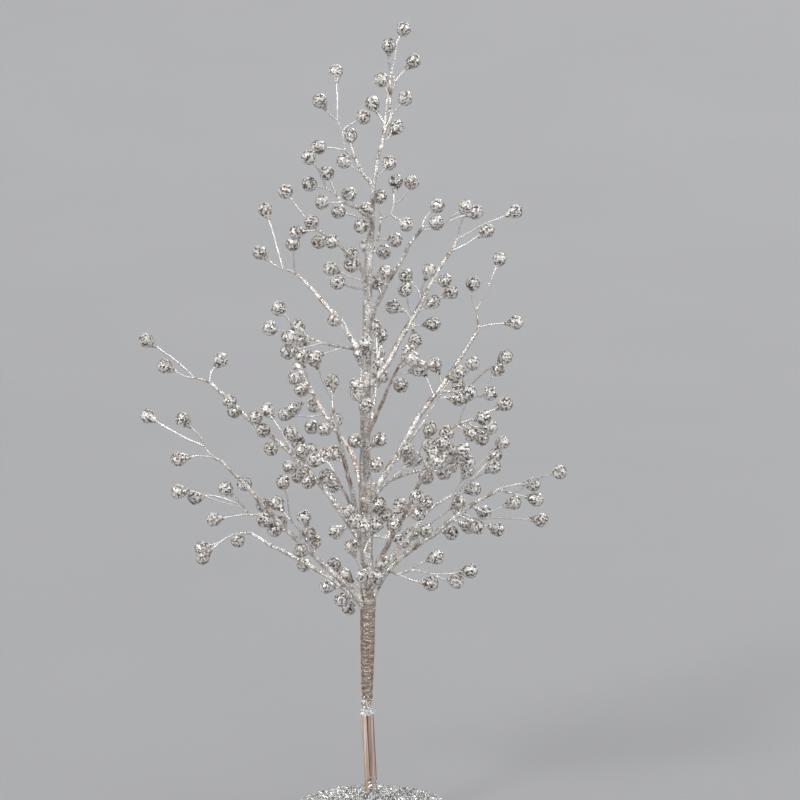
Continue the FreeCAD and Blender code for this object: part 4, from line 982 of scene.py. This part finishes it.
def dress_spray(name, seed):
    """Replaces a spray's wires and beads."""
    wires, beads = read_spray(name)
    parts = []
    for index, wire in enumerate(wires):
        number = (seed * SEEDS_PER_SPRAY + index) * SEED_STEP
        if wire["thick"]:
            reach = STEM_ROOT_REACH if wire["radii"].max() > STEM_LEAST_RADIUS else WIRE_ROOT_REACH
            parts += wrapped(wire["line"], wire["radii"], number, reach)
        else:
            parts += twisted(wire["line"], wire["radii"], number)
    parts += [neck_loop(bead) for bead in beads]
    # These sprays get the warmer foil, which is painted warm reflection
    foil = STEM_FOIL_WARM_REFLECTION if name in WARM_REFLECTION_STEMS else FOIL
    wirework = piece(name + "_wirework", parts, [WIRE, foil], (0, 1))
    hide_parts(name + "_wires")
    drops = piece(name + "_drops", [drop(bead) for bead in beads], [ACRYLIC], ())
    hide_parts(name + "_beads")


# Trunk

def trunk_spine():
    """The middle and radius of each ring of points up the trunk's foil."""
    points = max((part[0] for part in loose_parts("trunk_foil")), key=len)
    points = points[np.argsort(points[:, 2])]
    gaps = np.flatnonzero(np.diff(points[:, 2]) > RING_GAP)
    groups = np.split(points, gaps + 1)
    middles = [middle_of(group) for group in groups]
    radii = [np.linalg.norm((group - middle)[:, :2], axis=1).max() for group, middle in zip(groups, middles)]
    return np.array(middles), np.array(radii)


def dress_trunk():
    """The foil over the bundled stems: ridges run up it, and a lapped edge winds round it."""
    line, radii = trunk_spine()
    spine, places = along(line, TRUNK_STEP)
    even = np.interp(places, distances(line), radii)[:, None]
    angles = turn_angles(TRUNK_SIDES)
    share = even / radii.max()
    drift = TRUNK_DRIFT * np.sin(places / TRUNK_DRIFT_LENGTH)[:, None]
    ridges = np.abs(np.sin(TRUNK_RIDGES / 2 * (angles[None, :] + drift)))
    lap = lap_height(angles, places, TRUNK_WRAP_PITCH, TRUNK_LAP_SHARE)
    base = np.repeat(even, TRUNK_SIDES, axis=1)
    points = sweep(spine, base)[0]
    fine = crinkles(points, TRUNK_FINE_SCALE, 3.0).reshape(base.shape)
    broad = crinkles(points, TRUNK_BROAD_SCALE, 8.0).reshape(base.shape)
    radius = (base - TRUNK_RIDGE_LIFT * share * (1.0 - ridges)
              + TRUNK_WRAP_LIFT * (lap - TRUNK_LAP_LEVEL) * share
              + TRUNK_CRINKLE * (TRUNK_FINE_SHARE * fine + TRUNK_BROAD_SHARE * broad) * share)
    points, faces = sweep(spine, radius)
    # Faces down the trunk's two sides take the painted warm reflection
    turns = np.degrees(angles)
    widths = PAINTED_REFLECTION_HALF_DEG * (1.0 + PAINTED_REFLECTION_UNEVEN * crinkles(spine, PAINTED_REFLECTION_UNEVEN_SCALE, 5.0))
    foil_faces = []
    painted_reflection_faces = []
    for index, face in enumerate(faces):
        ring, side = divmod(index, TRUNK_SIDES)
        off = min(abs((turns[side] - seam + 180) % 360 - 180) for seam in PAINTED_REFLECTION_SIDES_DEG)
        chosen = painted_reflection_faces if len(face) == 4 and off < widths[ring] else foil_faces
        chosen.append(face)
    parts = [(points, foil_faces, 0), (None, painted_reflection_faces, 1)]
    trunk = piece("trunk_foil_wrap", parts, [TRUNK_FOIL, TRUNK_PAINTED_REFLECTION_FOIL], (0, 1))
    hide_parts("trunk_foil")


def dress_sleeve():
    """The lower wrap: uneven lengthwise pleats over the bound rods, with one open seam."""
    low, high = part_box("lower_sleeve")
    cad_points = loose_parts("lower_sleeve")[0][0]
    heights = cad_points[:, 2]
    at_foot = cad_points[heights <= low.z + SLEEVE_RIM + HAIR]
    foot = middle_of(at_foot)
    top = middle_of(cad_points[heights >= high.z - SLEEVE_RIM - HAIR])
    radius = np.linalg.norm((at_foot - foot)[:, :2], axis=1).max()
    spine, places = along(np.array([foot, top]), SLEEVE_STEP)
    angles = turn_angles(SLEEVE_SIDES)
    sway = SLEEVE_SWAY * np.sin(places / SLEEVE_SWAY_LENGTH)[:, None]
    depth = np.zeros((len(places), SLEEVE_SIDES))
    for fold in SLEEVE_FOLDS_DEG:
        off = np.mod(angles[None, :] + sway - math.radians(fold) + math.pi, math.tau) - math.pi
        share = SLEEVE_OPEN_DEPTH_SHARE if fold == SLEEVE_OPEN_FOLD_DEG else SLEEVE_FOLD_DEPTH_SHARE
        depth += share * np.exp(-(off / SLEEVE_FOLD_WIDTH) ** 2)
    radii = radius * (SLEEVE_FULL_SHARE - depth)
    uneven = crinkles(np.repeat(spine, SLEEVE_SIDES, axis=0), SLEEVE_UNEVEN_SCALE, 2.0)
    radii = radii + SLEEVE_UNEVEN * uneven.reshape(radii.shape)
    points, faces = sweep(spine, radii)
    turns = np.degrees(angles)
    # The bands are painted shade: darker satin down one side, and dark painted shade in the open groove
    looks = [SATIN, SATIN_PAINTED_SHADE, GROOVE_PAINTED_SHADE, SATIN_PAINTED_HALF_SHADE, SATIN_PAINTED_EDGE_SHADE]
    bands = (SLEEVE_PAINTED_SHADE_DEG, SLEEVE_PAINTED_GROOVE_SHADE_DEG, SLEEVE_PAINTED_HALF_SHADE_DEG, SLEEVE_PAINTED_EDGE_SHADE_DEG)
    wrap = [[] for _ in looks]
    for index, face in enumerate(faces):
        turn = turns[index % SLEEVE_SIDES]
        number = next((number for number, (first, last) in enumerate(bands, 1) if first < turn <= last), 0)
        wrap[number if len(face) == 4 else 0].append(face)
    parts = [(None if number else points, chosen, number) for number, chosen in enumerate(wrap)]
    sleeve = piece("lower_wrap", parts, looks, range(len(looks)))
    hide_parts("lower_sleeve")


# Glitter

def flake(spot, normal, size, tilt):
    """The corners of a small flat flake, tilted off the surface it lies on."""
    lean = np.array([RANDOM.gauss(0, tilt) for _ in range(3)])
    heading = unit(normal + lean)
    side = unit(np.cross(heading, FLAKE_ASIDE))
    up = np.cross(heading, side)
    angles = RANDOM.uniform(0, math.tau) + turn_angles(FLAKE_SIDES)
    return [spot + (side * math.cos(angle) + up * math.sin(angle)) * size for angle in angles]


def flakes(spots, tilt=FLAKE_TILT):
    """Flakes at places, each given as a spot and a normal."""
    points = []
    faces = []
    for spot, normal in spots:
        size = FLAKE_SIZE * RANDOM.uniform(*FLAKE_SIZE_SHARES)
        normal = np.asarray(normal)
        start = len(points)
        points += flake(np.asarray(spot) + normal * size * FLAKE_LIFT_SHARE, normal, size, tilt)
        faces.append(tuple(range(start, start + FLAKE_SIDES)))
    return np.array(points), faces


def facing_out(out, angle, height, centre=(0.0, 0.0)):
    """A flake's spot and normal, some way out from an upright axis."""
    return around(out, angle, height, centre), around(1.0, angle, 0.0)


def ring_surface(profile, sides, rough):
    """A surface turned about Z through (out, up) points, grained by a little noise."""
    points = np.array([around(out, angle, up) for out, up in profile for angle in turn_angles(sides)])
    grain = crinkles(points, COAT_GRAIN_SCALE, 4.0)[:, None]
    level = points * [1, 1, 0] + [0, 0, AXIS_NUDGE]
    out = level / np.linalg.norm(level, axis=1)[:, None]
    return points - out * rough * (0.5 + 0.5 * grain), ring_faces(len(profile), sides)


def dress_base():
    """The base's coat and its flakes, on top, round its edge and down its side."""
    low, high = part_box("base_shell")
    radius = (high.x - low.x) / 2
    flat = radius - BASE_EDGE
    bend = BASE_EDGE - COAT_SKIN
    side = radius - COAT_SKIN
    profile = [(radius - BASE_UNDERCUT, low.z), (side, low.z + BASE_SOLE)]
    side_heights = np.linspace(low.z + BASE_SIDE_START, high.z - BASE_EDGE, BASE_SIDE_RINGS)
    profile += [(side, height) for height in side_heights]
    for step in range(1, BASE_EDGE_RINGS + 1):
        angle = step / BASE_EDGE_RINGS * math.pi / 2
        profile.append((flat + bend * math.cos(angle), high.z - BASE_EDGE + bend * math.sin(angle)))
    profile += [(out, high.z - COAT_SKIN) for out in np.linspace(flat, BASE_HOLE, BASE_TOP_RINGS)[1:]]
    spots = []
    for _ in range(BASE_FLAKES):
        out = math.sqrt(RANDOM.random()) * (radius - BASE_EDGE * BASE_BARE_SHARE)
        angle = RANDOM.uniform(0, math.tau)
        height = high.z - COAT_SKIN
        normal = (0.0, 0.0, 1.0)
        if out > flat:
            lean = math.asin(min(1.0, (out - flat) / BASE_EDGE))
            height = high.z - BASE_EDGE + bend * math.cos(lean)
            normal = around(math.sin(lean), angle, math.cos(lean))
        spots.append((around(out, angle, height), normal))
    for _ in range(SIDE_FLAKES):
        angle = RANDOM.uniform(0, math.tau)
        height = RANDOM.uniform(low.z + SIDE_FLAKES_START, high.z - BASE_EDGE * SIDE_BARE_SHARE)
        spots.append(facing_out(side, angle, height))
    coat = [(*ring_surface(profile, BASE_SIDES, COAT_GRAIN), 0), (*flakes(spots, BASE_TILT), 1)]
    base = piece("glitter_base", coat, [COAT, BASE_FLAKE], (0,))
    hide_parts("base_shell")


def sleeve_lean():
    """The sleeve's radius at its foot, and how far it leans across for each metre up."""
    low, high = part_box("lower_sleeve")
    radius = (high.y - low.y) / 2
    return radius, (low.x + radius - (high.x - radius)) / (high.z - low.z)


def dress_foot():
    """The glue that runs up the trunk's foot, with flakes thinning out upwards."""
    low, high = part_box("foot_glue")
    radius = (high.x - low.x) / 2
    waist = radius * FOOT_WAIST_SHARE
    rise = high.z - low.z

    def flare(share):
        return waist + (radius - waist) * (1 - share) ** FOOT_FLARE

    profile = [(flare(share), low.z + rise * share) for share in np.linspace(0, 1, FOOT_RINGS)]
    profile.append((waist * FOOT_LIP_SHARE, high.z))
    spots = []
    for _ in range(FOOT_FLAKES):
        share = RANDOM.random() ** FOOT_CROWDING
        angle = RANDOM.uniform(0, math.tau)
        normal = unit(np.array(around(1.0, angle, FOOT_NORMAL_RISE * (1 - share))))
        spots.append((around(flare(share), angle, low.z + rise * share), normal))
    sleeve_radius, slope = sleeve_lean()
    for _ in range(CREEP_FLAKES):
        height = high.z + CREEP_HEIGHT * RANDOM.random() ** CREEP_CROWDING
        angle = math.radians(RANDOM.gauss(CREEP_SIDE_DEG, CREEP_SPREAD_DEG))
        middle = (slope * (height - low.z), 0.0)
        spots.append((around(-sleeve_radius - CREEP_LIFT, angle, height, middle), around(-1.0, angle, 0.0)))
    coat = [(*ring_surface(profile, FOOT_SIDES, FOOT_GRAIN), 0), (*flakes(spots), 1)]
    foot = piece("glitter_foot", coat, [COAT, FOOT_FLAKE], (0,))
    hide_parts("foot_glue")


def dress_collar():
    """The bright ring: a soft band with flakes standing off it."""
    low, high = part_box("collar_band")
    middle = (low + high) / 2
    radius = (high.x - low.x) / 2
    hole = radius * COLLAR_HOLE_SHARE
    rise = high.z - low.z

    def bulge(share):
        return radius * (COLLAR_EDGE_SHARE + COLLAR_BULGE_SHARE * math.sin(share * math.pi) ** 0.5)

    profile = [(bulge(share), low.z + rise * share) for share in np.linspace(0, 1, COLLAR_RINGS)]
    profile = [(hole, low.z)] + profile + [(hole, high.z)]
    points, faces = ring_surface(profile, COLLAR_SIDES, COAT_GRAIN)
    points = points + [middle.x, middle.y, 0.0]
    spots = []
    for _ in range(COLLAR_FLAKES):
        share = RANDOM.random()
        angle = RANDOM.uniform(0, math.tau)
        spots.append(facing_out(bulge(share), angle, low.z + rise * share, (middle.x, middle.y)))
    line, radii = trunk_spine()
    for _ in range(COLLAR_CREEP_FLAKES):
        height = high.z + CREEP_HEIGHT * RANDOM.random() ** COLLAR_CREEP_CROWDING
        angle = RANDOM.uniform(0, math.tau)
        spots.append(facing_out(radii[0] * COLLAR_CREEP_SHARE, angle, height, line[0]))
    coat = [(points, faces, 0), (*flakes(spots), 1)]
    ring = piece("glitter_collar", coat, [BRIGHT_COAT, BRIGHT_FLAKE], (0,))
    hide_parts("collar_band")


# Stage

def stage_setting():
    """A wide pale floor that curves up slowly behind."""
    profile = [(-FLOOR_REACH, 0.0), (CURVE_START, 0.0)]
    for angle in np.linspace(0, math.radians(CURVE_DEG), CURVE_STEPS)[1:]:
        profile.append((CURVE_START + CURVE_RADIUS * math.sin(angle), CURVE_RADIUS * (1 - math.cos(angle))))
    points = [(side * FLOOR_REACH, y, z) for y, z in profile for side in (-1, 1)]
    faces = [(2 * i, 2 * i + 1, 2 * i + 3, 2 * i + 2) for i in range(len(profile) - 1)]
    mesh = bpy.data.meshes.new("floor")
    mesh.from_pydata(points, [], faces)
    shade = tuple(channel * FLOOR_MOTTLE_SHARE for channel in FLOOR_COLOUR)
    look = grained("floor", [(0.3, shade), (0.7, FLOOR_COLOUR)], {"Roughness": 0.8}, scale=3.0)
    mesh.materials.append(look)
    mesh.polygons.foreach_set("use_smooth", [True] * len(faces))
    floor = bpy.data.objects.new("floor", mesh)
    bpy.context.scene.collection.objects.link(floor)


def light():
    """Soft suns on both sides and behind, and a world of bright and dim patches, plain to the camera."""
    for name, heading, size_deg, strength in SUNS:
        data = bpy.data.lights.new(name, "SUN")
        data.angle = math.radians(size_deg)
        data.energy = strength
        obj = bpy.data.objects.new(name, data)
        obj.rotation_euler = Vector(heading).to_track_quat("Z", "Y").to_euler()
        bpy.context.scene.collection.objects.link(obj)
    world = bpy.data.worlds.new("studio")
    world.use_nodes = True
    tree = world.node_tree
    backdrop = tree.nodes["Background"]
    backdrop.inputs["Color"].default_value = (*BACKDROP_COLOUR, 1.0)
    place = node(tree, "ShaderNodeTexCoord").outputs["Generated"]
    patches = node(tree, "ShaderNodeTexNoise", {
        "Vector": place, "Scale": STUDIO_PATCHES, "Detail": 0.0}).outputs["Fac"]
    studio = node(tree, "ShaderNodeBackground", {
        "Color": ramp(tree, patches, STUDIO_STOPS), "Strength": STUDIO_STRENGTH}).outputs["Background"]
    mixed = node(tree, "ShaderNodeMixShader", {
        "Fac": node(tree, "ShaderNodeLightPath").outputs["Is Camera Ray"],
        1: studio,
        2: backdrop.outputs["Background"],
    }).outputs["Shader"]
    tree.links.new(mixed, tree.nodes["World Output"].inputs["Surface"])
    bpy.context.scene.world = world


def camera():
    """The photograph's camera."""
    data = bpy.data.cameras.new("camera")
    data.sensor_width = SENSOR_WIDTH
    data.lens = VIEW_FOCAL_PIXELS / IMAGE_PIXELS * SENSOR_WIDTH
    data.clip_end = VIEW_REACH
    obj = bpy.data.objects.new("camera", data)
    obj.location = VIEW_SPOT
    obj.rotation_euler = (math.radians(90 - VIEW_TILT_DEG), 0, 0)
    bpy.context.scene.collection.objects.link(obj)
    bpy.context.scene.camera = obj


def build():
    """Dresses the sprays, the trunk and the base, and colours the CAD parts that stay."""
    for index, name in enumerate(SPRAYS):
        dress_spray(name, index)
    dress_trunk()
    dress_sleeve()
    dress_base()
    dress_foot()
    dress_collar()
    for name, material in (("base_pad", felt()), ("base_weight", plaster()), ("trunk_core", steel())):
        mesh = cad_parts[name].data
        mesh.materials.clear()
        mesh.materials.append(material)


build()
stage_setting()
light()
camera()
bpy.context.scene.view_settings.view_transform = "Standard"
